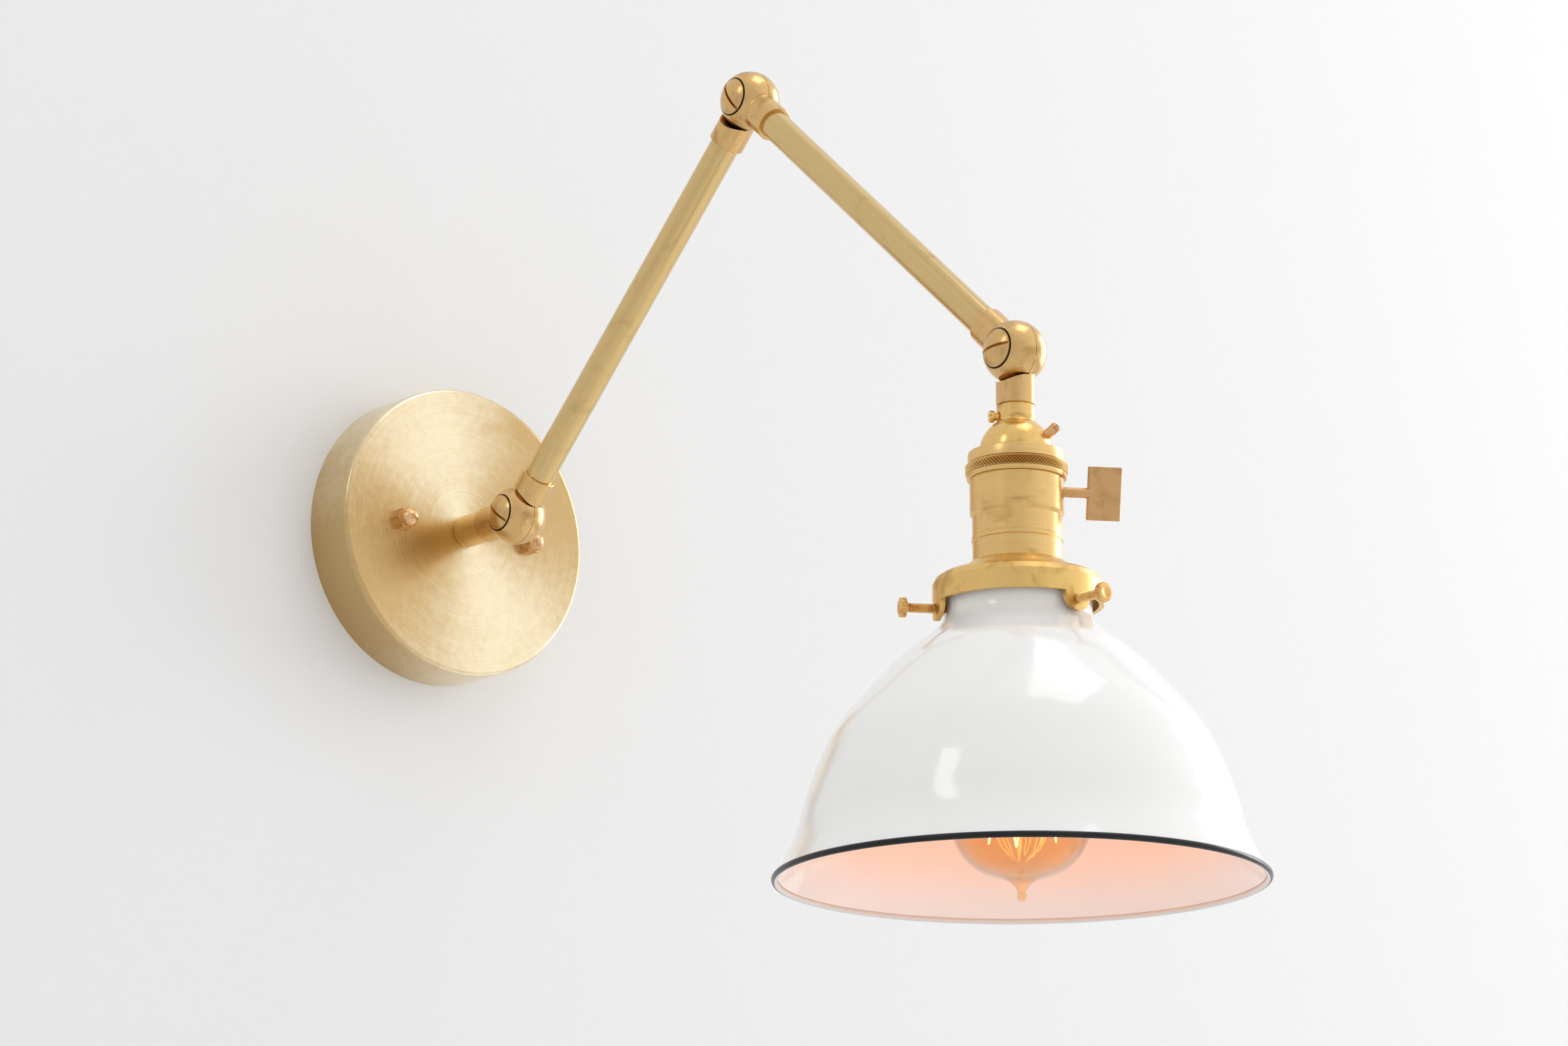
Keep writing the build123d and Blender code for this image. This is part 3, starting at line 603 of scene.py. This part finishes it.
# ---- mesh making ---------------------------------------------------------------------------------
def lathe(profile: Sequence[tuple[float, float]], closed: bool, steps: int = 96) -> Mesh:
    """Turn a (radius, height) outline about +Z.

    Args:
        profile: Corner points. An open outline starts and ends on the axis.
        closed: True for a ring, whose last point joins the first.
        steps: Number of sides.

    Returns:
        A closed mesh with outward faces.
    """
    work = bmesh.new()
    rows = [[work.verts.new((radius * math.cos(math.tau * i / steps),
                             radius * math.sin(math.tau * i / steps), height)) for i in range(steps)]
            for radius, height in profile]
    pairs = list(zip(rows, rows[1:])) + ([(rows[-1], rows[0])] if closed else [])
    for low, high in pairs:
        for i in range(steps):
            j = (i + 1) % steps
            work.faces.new((low[i], low[j], high[j], high[i]))
    bmesh.ops.remove_doubles(work, verts=work.verts, dist=1e-6)
    bmesh.ops.recalc_face_normals(work, faces=work.faces)
    mesh = bpy.data.meshes.new("turned")
    work.to_mesh(mesh)
    work.free()
    return mesh


def smooth(mesh: Mesh, corner: float = 32.0) -> Mesh:
    """Shade a mesh smooth up to a corner angle in degrees."""
    mesh.shade_smooth()
    mesh.set_sharp_from_angle(angle=math.radians(corner))
    return mesh


class Growth(Board):
    """A Geometry Nodes tree with named sizes, which grows repeated detail on a mesh."""

    def __init__(self, name: str, sizes: Sequence[str], counts: Sequence[str] = ()) -> None:
        """Start a tree.

        Args:
            name: Name of the tree.
            sizes: Names of its decimal inputs.
            counts: Names of its whole-number inputs.
        """
        super().__init__(bpy.data.node_groups.new(name, "GeometryNodeTree"))
        face = self.tree.interface
        face.new_socket("Geometry", in_out="INPUT", socket_type="NodeSocketGeometry")
        for size in sizes:
            face.new_socket(size, in_out="INPUT", socket_type="NodeSocketFloat")
        for count in counts:
            face.new_socket(count, in_out="INPUT", socket_type="NodeSocketInt")
        face.new_socket("Finish", in_out="INPUT", socket_type="NodeSocketMaterial")
        face.new_socket("Geometry", in_out="OUTPUT", socket_type="NodeSocketGeometry")
        self.source = self.add("NodeGroupInput")

    def size(self, name: str) -> Value:
        """One of the tree's named inputs."""
        return Value(self, self.source.outputs[name])

    def index(self) -> Value:
        """Number of the point in its row."""
        return self.value("GeometryNodeInputIndex")

    def ring(self, radius: Value, angle: Value, height: Any) -> Socket:
        """Point at an angle round +Z."""
        return self.vector(radius * angle.wave("COSINE"), radius * angle.wave("SINE"), height)

    def close(self, grown: Sequence[Socket], keep_base: bool = True) -> None:
        """Join what has grown with the base mesh, realize it and give it its finish."""
        join = self.add("GeometryNodeJoinGeometry")
        ends = list(grown) + ([self.source.outputs["Geometry"]] if keep_base else [])
        for end in ends:
            self.tree.links.new(end, join.inputs[0])
        real = self.add("GeometryNodeRealizeInstances", None, {0: join.outputs[0]})
        dressed = self.add("GeometryNodeSetMaterial", None, {
            "Geometry": real.outputs[0], "Material": self.source.outputs["Finish"]})
        self.add("NodeGroupOutput", None, {0: dressed.outputs[0]})

    def grow(self, base: Optional[Mesh], finish: Material,
             sizes: dict[str, float]) -> Mesh:
        """Run the tree.

        Args:
            base: Mesh that the detail grows on, or None.
            finish: Material of the result.
            sizes: Values of the named inputs.

        Returns:
            A plain mesh.
        """
        if base and not base.materials:
            base.materials.append(finish)
        holder = link("growing", base or bpy.data.meshes.new("nothing"))
        modifier = holder.modifiers.new("Growth", "NODES")
        modifier.node_group = self.tree
        values = {**sizes, "Finish": finish}
        for item in self.tree.interface.items_tree:
            if item.in_out == "INPUT" and item.name in values:
                modifier[item.identifier] = values[item.name]
        graph = bpy.context.evaluated_depsgraph_get()
        mesh = bpy.data.meshes.new_from_object(holder.evaluated_get(graph), depsgraph=graph)
        holder.modifiers.remove(modifier)
        bpy.data.objects.remove(holder)
        return mesh


def knurl_growth() -> Growth:
    """Tree that covers a band about +Z with diamond points."""
    tree = Growth("diamond_knurl", ("Band Radius", "Band Start", "Row Height", "Point Depth"),
                  ("Points Around", "Rows"))
    around, rows = tree.size("Points Around"), tree.size("Rows")
    points = tree.add("GeometryNodePoints", None, {"Count": around * rows})
    index = tree.index()
    column = (index / rows).wave("FLOOR")
    row = index - column * rows
    angle = (column + row * 0.5) * math.tau / around
    radius = tree.size("Band Radius")
    spot = tree.ring(radius, angle, tree.size("Band Start") + (row + 1.0) * tree.size("Row Height"))
    placed = tree.add("GeometryNodeSetPosition", None, {"Geometry": points.outputs[0], "Position": spot})
    spike = tree.add("GeometryNodeMeshCone", None, {"Vertices": 4, "Radius Top": 0.0, "Radius Bottom": 1.0,
                                                    "Depth": 1.0})
    half = radius * math.pi / around
    copies = tree.add("GeometryNodeInstanceOnPoints", None, {
        "Points": placed.outputs[0], "Instance": spike.outputs[0],
        "Rotation": tree.vector(0.0, math.pi / 2, angle),
        "Scale": tree.vector(tree.size("Row Height"), half, tree.size("Point Depth"))})
    tree.close([copies.outputs[0]])
    return tree


def thread_growth() -> Growth:
    """Tree that winds a V-shaped ridge round +Z."""
    tree = Growth("screw_thread", ("Core Radius", "Pitch", "Ridge", "Start", "Length"))
    radius, length = tree.size("Core Radius"), tree.size("Length")
    spiral = tree.add("GeometryNodeCurveSpiral", None, {
        "Resolution": 20, "Rotations": length / tree.size("Pitch"), "Start Radius": radius,
        "End Radius": radius, "Height": length})
    upright = tree.add("GeometryNodeSetCurveNormal", {"mode": "Z_UP"}, {"Curve": spiral.outputs[0]})
    edge = tree.add("GeometryNodeCurvePrimitiveCircle", None, {"Resolution": 4,
                                                               "Radius": tree.size("Ridge")})
    ridge = tree.add("GeometryNodeCurveToMesh", None, {
        "Curve": upright.outputs[0], "Profile Curve": edge.outputs[0], "Fill Caps": True})
    lifted = tree.add("GeometryNodeTransform", None, {
        "Geometry": ridge.outputs[0], "Translation": tree.vector(0.0, 0.0, tree.size("Start"))})
    tree.close([lifted.outputs[0]])
    return tree


def grip_growth() -> Growth:
    """Tree that stands grip teeth round the edge of a disc about +Z."""
    tree = Growth("grip_edge", ("Edge Radius", "Tooth Width", "Start", "Length"), ("Teeth",))
    teeth, radius = tree.size("Teeth"), tree.size("Edge Radius")
    points = tree.add("GeometryNodePoints", None, {"Count": teeth})
    angle = tree.index() * math.tau / teeth
    spot = tree.ring(radius, angle, tree.size("Start") + tree.size("Length") * 0.5)
    placed = tree.add("GeometryNodeSetPosition", None, {"Geometry": points.outputs[0], "Position": spot})
    tooth = tree.add("GeometryNodeMeshCylinder", None, {
        "Vertices": 4, "Radius": tree.size("Tooth Width") * 0.5, "Depth": tree.size("Length")})
    copies = tree.add("GeometryNodeInstanceOnPoints", None, {
        "Points": placed.outputs[0], "Instance": tooth.outputs[0],
        "Rotation": tree.vector(0.0, 0.0, angle)})
    tree.close([copies.outputs[0]])
    return tree


def filament_growth() -> Growth:
    """Tree that draws a squirrel-cage filament: legs up and down a cone, with round hairpins."""
    tree = Growth("cage_filament", ("Top Radius", "Low Radius", "Top", "Low", "Wire Radius", "Sag"),
                  ("Legs", "Seed"))
    line = tree.add("GeometryNodeCurvePrimitiveLine", None, {"End": (0.0, 0.0, 1.0)})
    steps = 420
    fine = tree.add("GeometryNodeResampleCurve", None, {"Curve": line.outputs[0], "Count": steps})
    share = tree.index() / (steps - 1)
    legs = tree.size("Legs")
    swing = (share * (legs - 1) * math.pi).wave("COSINE") * 0.985
    leg = 0.5 - swing.wave("ARCSINE") * (0.5 / math.asin(0.985))
    stray = tree.value("ShaderNodeTexNoise", {"noise_dimensions": "1D"}, {
        "W": tree.size("Seed") + share * 40.0, "Scale": 1.0}, 0) - 0.5
    radius = tree.size("Top Radius") + (tree.size("Low Radius") - tree.size("Top Radius")) * leg
    radius = radius + stray * tree.size("Sag")
    angle = share * (legs - 1) * (math.tau) / legs
    down = tree.size("Top") + (tree.size("Low") - tree.size("Top")) * leg
    spot = tree.ring(radius, angle, down + stray * tree.size("Sag"))
    bent = tree.add("GeometryNodeSetPosition", None, {"Geometry": fine.outputs[0], "Position": spot})
    section = tree.add("GeometryNodeCurvePrimitiveCircle", None, {"Resolution": 8,
                                                                  "Radius": tree.size("Wire Radius")})
    wire = tree.add("GeometryNodeCurveToMesh", None, {
        "Curve": bent.outputs[0], "Profile Curve": section.outputs[0], "Fill Caps": True})
    tree.close([wire.outputs[0]], keep_base=False)
    return tree


# ---- pieces --------------------------------------------------------------------------------------
class Assembly:
    """A group of pieces on one or more bodies."""

    name = "assembly"

    def build(self) -> None:
        """Make and dress the pieces."""
        raise NotImplementedError

    def dress(self, finish: Material, *nodes: str) -> None:
        """Give solids their finish, and log them.

        Args:
            finish: The material.
            nodes: Names of the nodes.
        """
        for node in nodes:
            piece = frame["nodes"][node]
            piece.data.materials.clear()
            piece.data.materials.append(finish)
            LOG.info("%s: %s has %s", self.name, node, finish.name)

    def place(self, name: str, mesh: Mesh, where: Matrix, body: str, slot: str,
              *nodes: str) -> bpy.types.Object:
        """Put a finished mesh in its place and let it stand for its solids.

        Args:
            name: Name of the piece.
            mesh: Mesh about its own +Z.
            where: Placement in the lamp's frame.
            body: Body that it rides on.
            slot: Material slot in the record; not used.
            nodes: Nodes that it replaces.

        Returns:
            The new object, at the origin.
        """
        mesh.transform(where)
        mesh.name = name
        piece = link(name, smooth(mesh))
        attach(piece, body)
        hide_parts(*nodes)
        LOG.info("%s: built %s with %d faces", self.name, name, len(mesh.polygons))
        return piece


class Threaded(Assembly):
    """A group of pieces with threads of one ridge height."""

    ridge: float
    threads: Growth

    def cut_thread(self, base: Mesh, finish: Material, core: float, pitch: float,
                   start: float, length: float) -> Mesh:
        """Wind this assembly's thread on a turned blank.

        Args:
            base: The blank, about +Z.
            finish: Material of the result.
            core: Radius at the thread's root.
            pitch: Distance between turns.
            start: Height of the first turn.
            length: Length of the thread.

        Returns:
            The threaded mesh.
        """
        return self.threads.grow(base, finish, {
            "Core Radius": core, "Pitch": pitch, "Ridge": self.ridge, "Start": start, "Length": length})


@dataclass
class WallPlate(Threaded):
    """Canopy, crossbar and the screws, pipe parts and stem between the wall and the first swivel."""

    name: str = "wall plate"
    stud_pitch: float = 0.79 * MM
    pipe_pitch: float = 0.94 * MM
    ridge: float = 0.28 * MM
    threads: Growth = field(default_factory=thread_growth)

    def build(self) -> None:
        """Dress the plate's solids and cut the threads."""
        self.dress(CANOPY.on(WALL_AXIS), "canopy")
        self.dress(STEM.on(WALL_AXIS), "stem")
        self.dress(NUT.on(WALL_AXIS), "cap_nuts")
        strap = STRAP.on(WALL_AXIS)
        self.dress(strap, "crossbar", "stud_lock_nuts", "nipple_lock_nut", "nipple_washer")
        self.dress(SCREW_GREEN.on(WALL_AXIS), "ground_screw")
        self.dress(SHEATH.on(WALL_AXIS), "stem_wires")
        self._studs(strap)
        self._pipe()

    def _studs(self, finish: Material) -> None:
        """Two threaded studs, each cut about its own axis."""
        low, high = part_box("mounting_studs")
        radius, length = (high.z - low.z) / 2, -low.y
        core = radius - self.ridge
        both = bmesh.new()
        for x in (low.x + radius, high.x - radius):
            base = lathe([(0.0, 0.0), (core, 0.0), (core, length - 0.4 * MM),
                          (core - 0.4 * MM, length), (0.0, length)], closed=False, steps=40)
            mesh = self.cut_thread(base, finish, core, self.stud_pitch, self.ridge,
                                   length - 3 * self.ridge)
            mesh.transform(Matrix.Translation((x, 0.0, 0.0)))
            both.from_mesh(mesh)
        mesh = bpy.data.meshes.new("studs")
        both.to_mesh(mesh)
        both.free()
        mesh.materials.append(finish)
        self.place("mounting_studs_threaded", mesh, FROM_WALL, "wall_mount", "strap_steel",
                   "mounting_studs")

    def _pipe(self) -> None:
        """Threaded nipple that holds the stem to the canopy."""
        low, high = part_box("canopy_nipple")
        radius, start, end = (high.x - low.x) / 2, -high.y, -low.y
        core, bore = radius - self.ridge, radius - 1.3 * MM
        base = lathe([(bore, start), (core, start), (core, end), (bore, end)], closed=True, steps=64)
        finish = STRAP.on(WALL_AXIS, "_pipe")
        mesh = self.cut_thread(base, finish, core, self.pipe_pitch, start + self.ridge,
                               end - start - 2 * self.ridge)
        slot = slot_of("canopy_nipple")
        self.place("canopy_nipple_threaded", mesh, FROM_WALL, "wall_mount", slot, "canopy_nipple")


@dataclass
class Swivel(Assembly):
    """One ball swivel: two halves, the clamp screw and its spring washer."""

    number: int = 1
    centre: Vector = field(default_factory=Vector)
    name: str = "swivel"

    def build(self) -> None:
        """Dress the swivel's solids, with their marks about the clamp screw."""
        pin = Axis(self.centre, Vector((-1.0, 0.0, 0.0)))
        stem = f"swivel_{self.number}"
        self.dress(BALL.on(pin, f"_{self.number}"), f"{stem}_near_half", f"{stem}_far_half")
        self.dress(CLAMP.on(pin, f"_{self.number}"), f"{stem}_screw")
        self.dress(SPRING.on(pin, f"_{self.number}"), f"{stem}_washer")


@dataclass
class Arm(Assembly):
    """One drawn arm tube with its two conductors."""

    number: int = 1
    axis: Axis = ARM_1_AXIS
    name: str = "arm"

    def build(self) -> None:
        """Dress the tube along its length, and the conductors in it."""
        self.dress(ARM.on(self.axis, f"_{self.number}"), f"arm_{self.number}_tube")
        self.dress(SHEATH.on(self.axis, f"_{self.number}"), f"arm_{self.number}_wires")


@dataclass
class LampSocket(Assembly):
    """Keyed lamp socket: cap, knurled ring, shell, and the switch and contacts inside it."""

    name: str = "lamp socket"
    cap_radius: float = 14.85 * MM
    shell_radius: float = 17.7 * MM
    body_radius: float = 19.15 * MM
    lip_radius: float = 19.7 * MM
    band_start: float = 5.0 * MM
    band_height: float = 4.3 * MM
    lip_height: float = 1.8 * MM
    wall: float = 0.9 * MM
    points_around: int = 84
    rows: int = 5

    def build(self) -> None:
        """Dress the socket's solids and build the knurled ring."""
        cap, shell = CAP.on(HEAD_AXIS), SOCKET.on(HEAD_AXIS)
        self.dress(cap, "socket_cap", "cap_set_screw", "socket_nipple")
        self.dress(shell, "socket_shell")
        self.dress(COPPER.on(HEAD_AXIS), "cap_side_tube")
        self.dress(FIBRE.on(HEAD_AXIS), "insulating_liner")
        self.dress(MOULDING.on(HEAD_AXIS), "switch_body")
        self.dress(CONTACT.on(HEAD_AXIS), "terminal_screws", "socket_thread", "centre_contact")
        self.dress(SHEATH.on(HEAD_AXIS), "head_wires")
        self._ring()

    def _ring(self) -> None:
        """Union ring with a diamond-knurled grip band."""
        low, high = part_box("socket_ring")
        top, end = WRIST.z - high.z, WRIST.z - low.z
        crest = (high.x - low.x) / 2
        row = self.band_height / (self.rows + 1)
        depth = 0.9 * MM
        root, knurl = crest - depth, top + self.band_start
        roof, lip = top + self.wall, end - self.lip_height
        base = lathe([(self.cap_radius, top), (self.body_radius - 1.0 * MM, top),
                      (self.body_radius - 0.3 * MM, top + 0.3 * MM), (self.body_radius, top + 1.0 * MM),
                      (self.body_radius, knurl - 0.3 * MM), (self.body_radius - 0.35 * MM, knurl - 0.15 * MM),
                      (root, knurl + 0.1 * MM), (root, lip - 0.2 * MM),
                      (self.lip_radius, lip), (self.lip_radius, end - 0.5 * MM),
                      (self.lip_radius - 0.15 * MM, end - 0.15 * MM), (self.lip_radius - 0.5 * MM, end),
                      (self.shell_radius, end), (self.shell_radius, roof), (self.cap_radius, roof)],
                     closed=True, steps=160)
        # The ring's knurl cuts get painted shade at their bottom.
        finish = replace(SOCKET, name="knurled_ring_brass", cut_shade_band=(root, knurl, lip)).on(HEAD_AXIS)
        mesh = knurl_growth().grow(base, finish, {
            "Band Radius": root - 0.02 * MM, "Band Start": knurl, "Row Height": row, "Point Depth": depth,
            "Points Around": self.points_around, "Rows": self.rows})
        self.place("socket_ring_knurled", mesh, head_place(), "head", slot_of("socket_ring"), "socket_ring")


@dataclass
class TurnKey(Assembly):
    """The switch's turn key."""

    name: str = "turn key"
    angle: float = -30.0

    def build(self) -> None:
        """Dress the key along its shaft."""
        low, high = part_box("turn_key")
        self.dress(KEY.on(head_side(WRIST.z - (low.z + high.z) / 2, self.angle)), "turn_key")


@dataclass
class ShadeHolder(Threaded):
    """Cast fitter ring and its three thumb screws."""

    name: str = "shade holder"
    angles: tuple[float, float, float] = (152.0, -88.0, 32.0)
    start: float = 29.1 * MM
    head_start: float = 44.8 * MM
    head_end: float = 47.8 * MM
    shaft_radius: float = 2.0 * MM
    head_radius: float = 3.9 * MM
    pitch: float = 0.87 * MM
    ridge: float = 0.32 * MM
    teeth: int = 26
    threads: Growth = field(default_factory=thread_growth)
    grips: Growth = field(default_factory=grip_growth)

    def build(self) -> None:
        """Dress the ring and turn the three screws."""
        self.dress(HOLDER.on(HEAD_AXIS), "shade_holder")
        for number, angle in enumerate(self.angles, start=1):
            self._screw(number, angle)

    def _screw(self, number: int, angle: float) -> None:
        """Thumb screw with a cut thread and a straight-knurled head.

        Args:
            number: Number of the screw.
            angle: Compass angle that it points in.
        """
        low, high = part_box(f"thumb_screw_{number}")
        axis = head_side(WRIST.z - (low.z + high.z) / 2, angle)
        finish = THUMB.on(axis, f"_{number}")
        core, tooth = self.shaft_radius - self.ridge, 0.9 * MM
        edge = self.head_radius - tooth / 2
        face = self.head_end - self.head_start
        base = lathe([(0.0, self.start), (core - 0.5 * MM, self.start), (core, self.start + 0.5 * MM),
                      (core, self.head_start - 0.9 * MM), (core + 0.5 * MM, self.head_start),
                      (edge - 0.6 * MM, self.head_start), (edge + 0.1 * MM, self.head_start + 0.45 * MM),
                      (edge + 0.1 * MM, self.head_end - 0.45 * MM), (edge - 0.6 * MM, self.head_end),
                      (1.7 * MM, self.head_end), (1.1 * MM, self.head_end - 0.35 * MM),
                      (0.0, self.head_end - 0.45 * MM)], closed=False, steps=56)
        toothed = self.grips.grow(base, finish, {
            "Edge Radius": edge, "Tooth Width": tooth, "Start": self.head_start + 0.35 * MM,
            "Length": face - 0.7 * MM, "Teeth": self.teeth})
        mesh = self.cut_thread(toothed, finish, core, self.pitch, self.start + 0.6 * MM,
                               self.head_start - self.start - 1.6 * MM)
        self.place(f"thumb_screw_{number}_cut", mesh, axis.matrix(), f"thumb_{number}",
                   slot_of(f"thumb_screw_{number}"), f"thumb_screw_{number}")


@dataclass
class Shade(Assembly):
    """Enamelled dome with its rolled black rim."""

    name: str = "shade"

    def build(self) -> None:
        """Dress the dome, white outside with a painted warm glow of the bulb inside, and its rim."""
        low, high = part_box("shade")
        top, brim = WRIST.z - high.z, WRIST.z - low.z
        self.dress(WHITE.on(HEAD_AXIS, top + 0.45 * (brim - top), brim), "shade")
        self.dress(BLACK.on(HEAD_AXIS), "shade_rim")


@dataclass
class Lamp(Assembly):
    """Vintage lamp: glass, stem, cage filament, hooks and base."""

    name: str = "lamp"
    wire_radius: float = 0.30 * MM
    sag: float = 1.2 * MM
    legs: int = 13
    seed: int = 7

    def build(self) -> None:
        """Dress the lamp's solids and wind the filament."""
        self.dress(AMBER.on(HEAD_AXIS), "lamp_glass")
        self.dress(CLEAR.on(HEAD_AXIS), "lamp_stem")
        self.dress(CONTACT.on(HEAD_AXIS, "_lamp"), "lamp_base")
        self.dress(INSULATOR.on(HEAD_AXIS), "lamp_tip")
        self.dress(SUPPORT.on(HEAD_AXIS), "filament_hooks")
        self._filament()

    def _filament(self) -> None:
        """Cage filament that fills the box of its solid."""
        low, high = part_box("lamp_filament")
        hooks_low, hooks_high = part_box("filament_hooks")
        wide = (high.x - low.x) / 2 - 2 * self.wire_radius
        narrow = (hooks_high.x - hooks_low.x) / 2
        mesh = filament_growth().grow(None, HOT.on(HEAD_AXIS), {
            "Top Radius": narrow, "Low Radius": wide, "Top": WRIST.z - high.z + 0.3 * MM,
            "Low": WRIST.z - low.z - 0.6 * MM, "Wire Radius": self.wire_radius, "Sag": self.sag,
            "Legs": self.legs, "Seed": self.seed})
        self.place("lamp_filament_wound", mesh, head_place(), "head", slot_of("lamp_filament"),
                   "lamp_filament")


def head_place() -> Matrix:
    """Placement whose local +Z runs down the head's axis."""
    return Matrix.Translation(WRIST) @ Matrix.Rotation(math.pi, 4, "X")


def slot_of(node: str) -> str:
    """Material slot that the record gives a node."""
    return next(part["material_slot"] for part in frame["record"]["subparts"] if part["node"] == node)


# ---- studio --------------------------------------------------------------------------------------
@dataclass(frozen=True)
class SoftBox:
    """A large soft light aimed at a point."""

    name: str
    place: Vector
    width: float
    height: float
    radiance: float
    colour: Colour = (1.0, 1.0, 1.0)

    def build(self, target: Vector) -> None:
        """Make the light.

        Args:
            target: Point that it faces.
        """
        data = bpy.data.lights.new(self.name, "AREA")
        data.shape = "RECTANGLE"
        data.size, data.size_y = self.width, self.height
        data.energy = self.radiance * math.pi * self.width * self.height
        data.color = self.colour
        lamp = link(self.name, data)
        lamp.location = self.place
        lamp.rotation_euler = (target - self.place).to_track_quat("-Z", "Y").to_euler()
        lamp.visible_camera = False


@dataclass
class Studio:
    """Pale wall and floor, soft light, and the camera."""

    wall_size: float = 5.0
    floor_drop: float = 1.3
    camera_place: Vector = field(default_factory=lambda: Vector((-1.2939, -1.7909, -0.5480)))
    camera_tilt: float = 104.19
    camera_turn: float = -40.0
    camera_roll: float = -0.07
    lens: float = 115.2
    boxes: tuple[SoftBox, ...] = (
        SoftBox("window", Vector((2.2, -0.55, 0.5)), 0.9, 1.7, 4.8),
        SoftBox("top_light", Vector((0.4, -0.8, 2.0)), 1.2, 0.8, 1.5),
        SoftBox("side_window", Vector((-1.7, -0.5, 1.1)), 0.35, 0.7, 2.2),
    )

    def build(self) -> None:
        """Set the stage."""
        self._plane("pale_wall", Matrix.Rotation(math.pi / 2, 4, "X"))
        self._plane("pale_floor", Matrix.Translation((0.0, 0.0, -self.floor_drop)))
        self._sky()
        for box in self.boxes:
            box.build(WRIST)
        self._lamp_light()
        self._camera()
        bpy.context.scene.view_settings.view_transform = "Standard"

    def _plane(self, name: str, where: Matrix) -> None:
        """Large square that only its front shows.

        Args:
            name: Name of the backdrop.
            where: Placement; the front faces local +Z.
        """
        half = self.wall_size
        mesh = bpy.data.meshes.new(name)
        mesh.from_pydata([(-half, -half, 0), (half, -half, 0), (half, half, 0), (-half, half, 0)], [],
                         [(0, 1, 2, 3)])
        mesh.transform(where)
        paint = Paint(name)
        grain = paint.noise(paint.coordinates.outputs["Object"], 260.0, 3.0)
        front = paint.surface(Base_Color=(0.81, 0.81, 0.815, 1.0), Roughness=0.9,
                              Normal=paint.bump(grain, 0.10 * MM))
        back = paint.add("ShaderNodeBsdfTransparent")
        side = paint.add("ShaderNodeNewGeometry").outputs["Backfacing"]
        mesh.materials.append(paint.finish(paint.add("ShaderNodeMixShader", None, {
            0: side, 1: front.outputs[0], 2: back.outputs[0]}).outputs[0]))
        plane = link(name, mesh)

    @staticmethod
    def _sky() -> None:
        """Even room light, brighter to the right and above, and dim behind the viewer's left."""
        world = bpy.data.worlds.new("room")
        world.use_nodes = True
        bpy.context.scene.world = world
        board = Board(world.node_tree)
        board.tree.nodes.clear()
        ray = board.add("ShaderNodeTexCoord").outputs["Generated"]
        towards = Vector((0.90, 0.10, 0.40)).normalized()
        side = board.value("ShaderNodeVectorMath", {"operation": "DOT_PRODUCT"},
                           {0: ray, 1: tuple(towards)}, "Value")
        level = board.value("ShaderNodeMapRange", {"interpolation_type": "SMOOTHSTEP"}, {
            "Value": side, "From Min": -0.70, "From Max": 0.75, "To Min": 0.74, "To Max": 1.10}, "Result")
        back = board.add("ShaderNodeBackground", None, {"Color": (1.0, 0.995, 0.985, 1.0),
                                                        "Strength": level})
        board.add("ShaderNodeOutputWorld", None, {"Surface": back.outputs[0]})

    @staticmethod
    def _lamp_light() -> None:
        """Warm light of the filament."""
        low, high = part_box("lamp_filament")
        data = bpy.data.lights.new("filament_light", "POINT")
        data.energy = 0.06
        data.color = (1.0, 0.45, 0.22)
        data.shadow_soft_size = 0.008
        lamp = link("filament_light", data)
        lamp.location = (low + high) / 2
        lamp.visible_camera = lamp.visible_glossy = lamp.visible_transmission = False

    def _camera(self) -> None:
        """Long lens from the lower left."""
        data = bpy.data.cameras.new("camera")
        data.lens = self.lens
        data.sensor_width = 36.0
        data.clip_start, data.clip_end = 0.05, 50.0
        camera = link("camera", data)
        camera.location = self.camera_place
        turn = Matrix.Rotation(math.radians(self.camera_turn), 4, "Z")
        tilt = Matrix.Rotation(math.radians(self.camera_tilt), 4, "X")
        roll = Matrix.Rotation(math.radians(self.camera_roll), 4, "Z")
        camera.rotation_euler = (turn @ tilt @ roll).to_euler()
        bpy.context.scene.camera = camera


def main() -> None:
    """Build every assembly in order, then the studio."""
    logging.basicConfig(level=logging.INFO, format="%(name)s: %(message)s")
    assemblies: tuple[Assembly, ...] = (
        WallPlate(), Swivel(number=1, centre=SHOULDER), Arm(number=1, axis=ARM_1_AXIS),
        Swivel(number=2, centre=ELBOW), Arm(number=2, axis=ARM_2_AXIS), Swivel(number=3, centre=WRIST),
        LampSocket(), TurnKey(), ShadeHolder(), Shade(), Lamp())
    for assembly in assemblies:
        assembly.build()
    Studio().build()


if __name__ == "__main__":
    main()
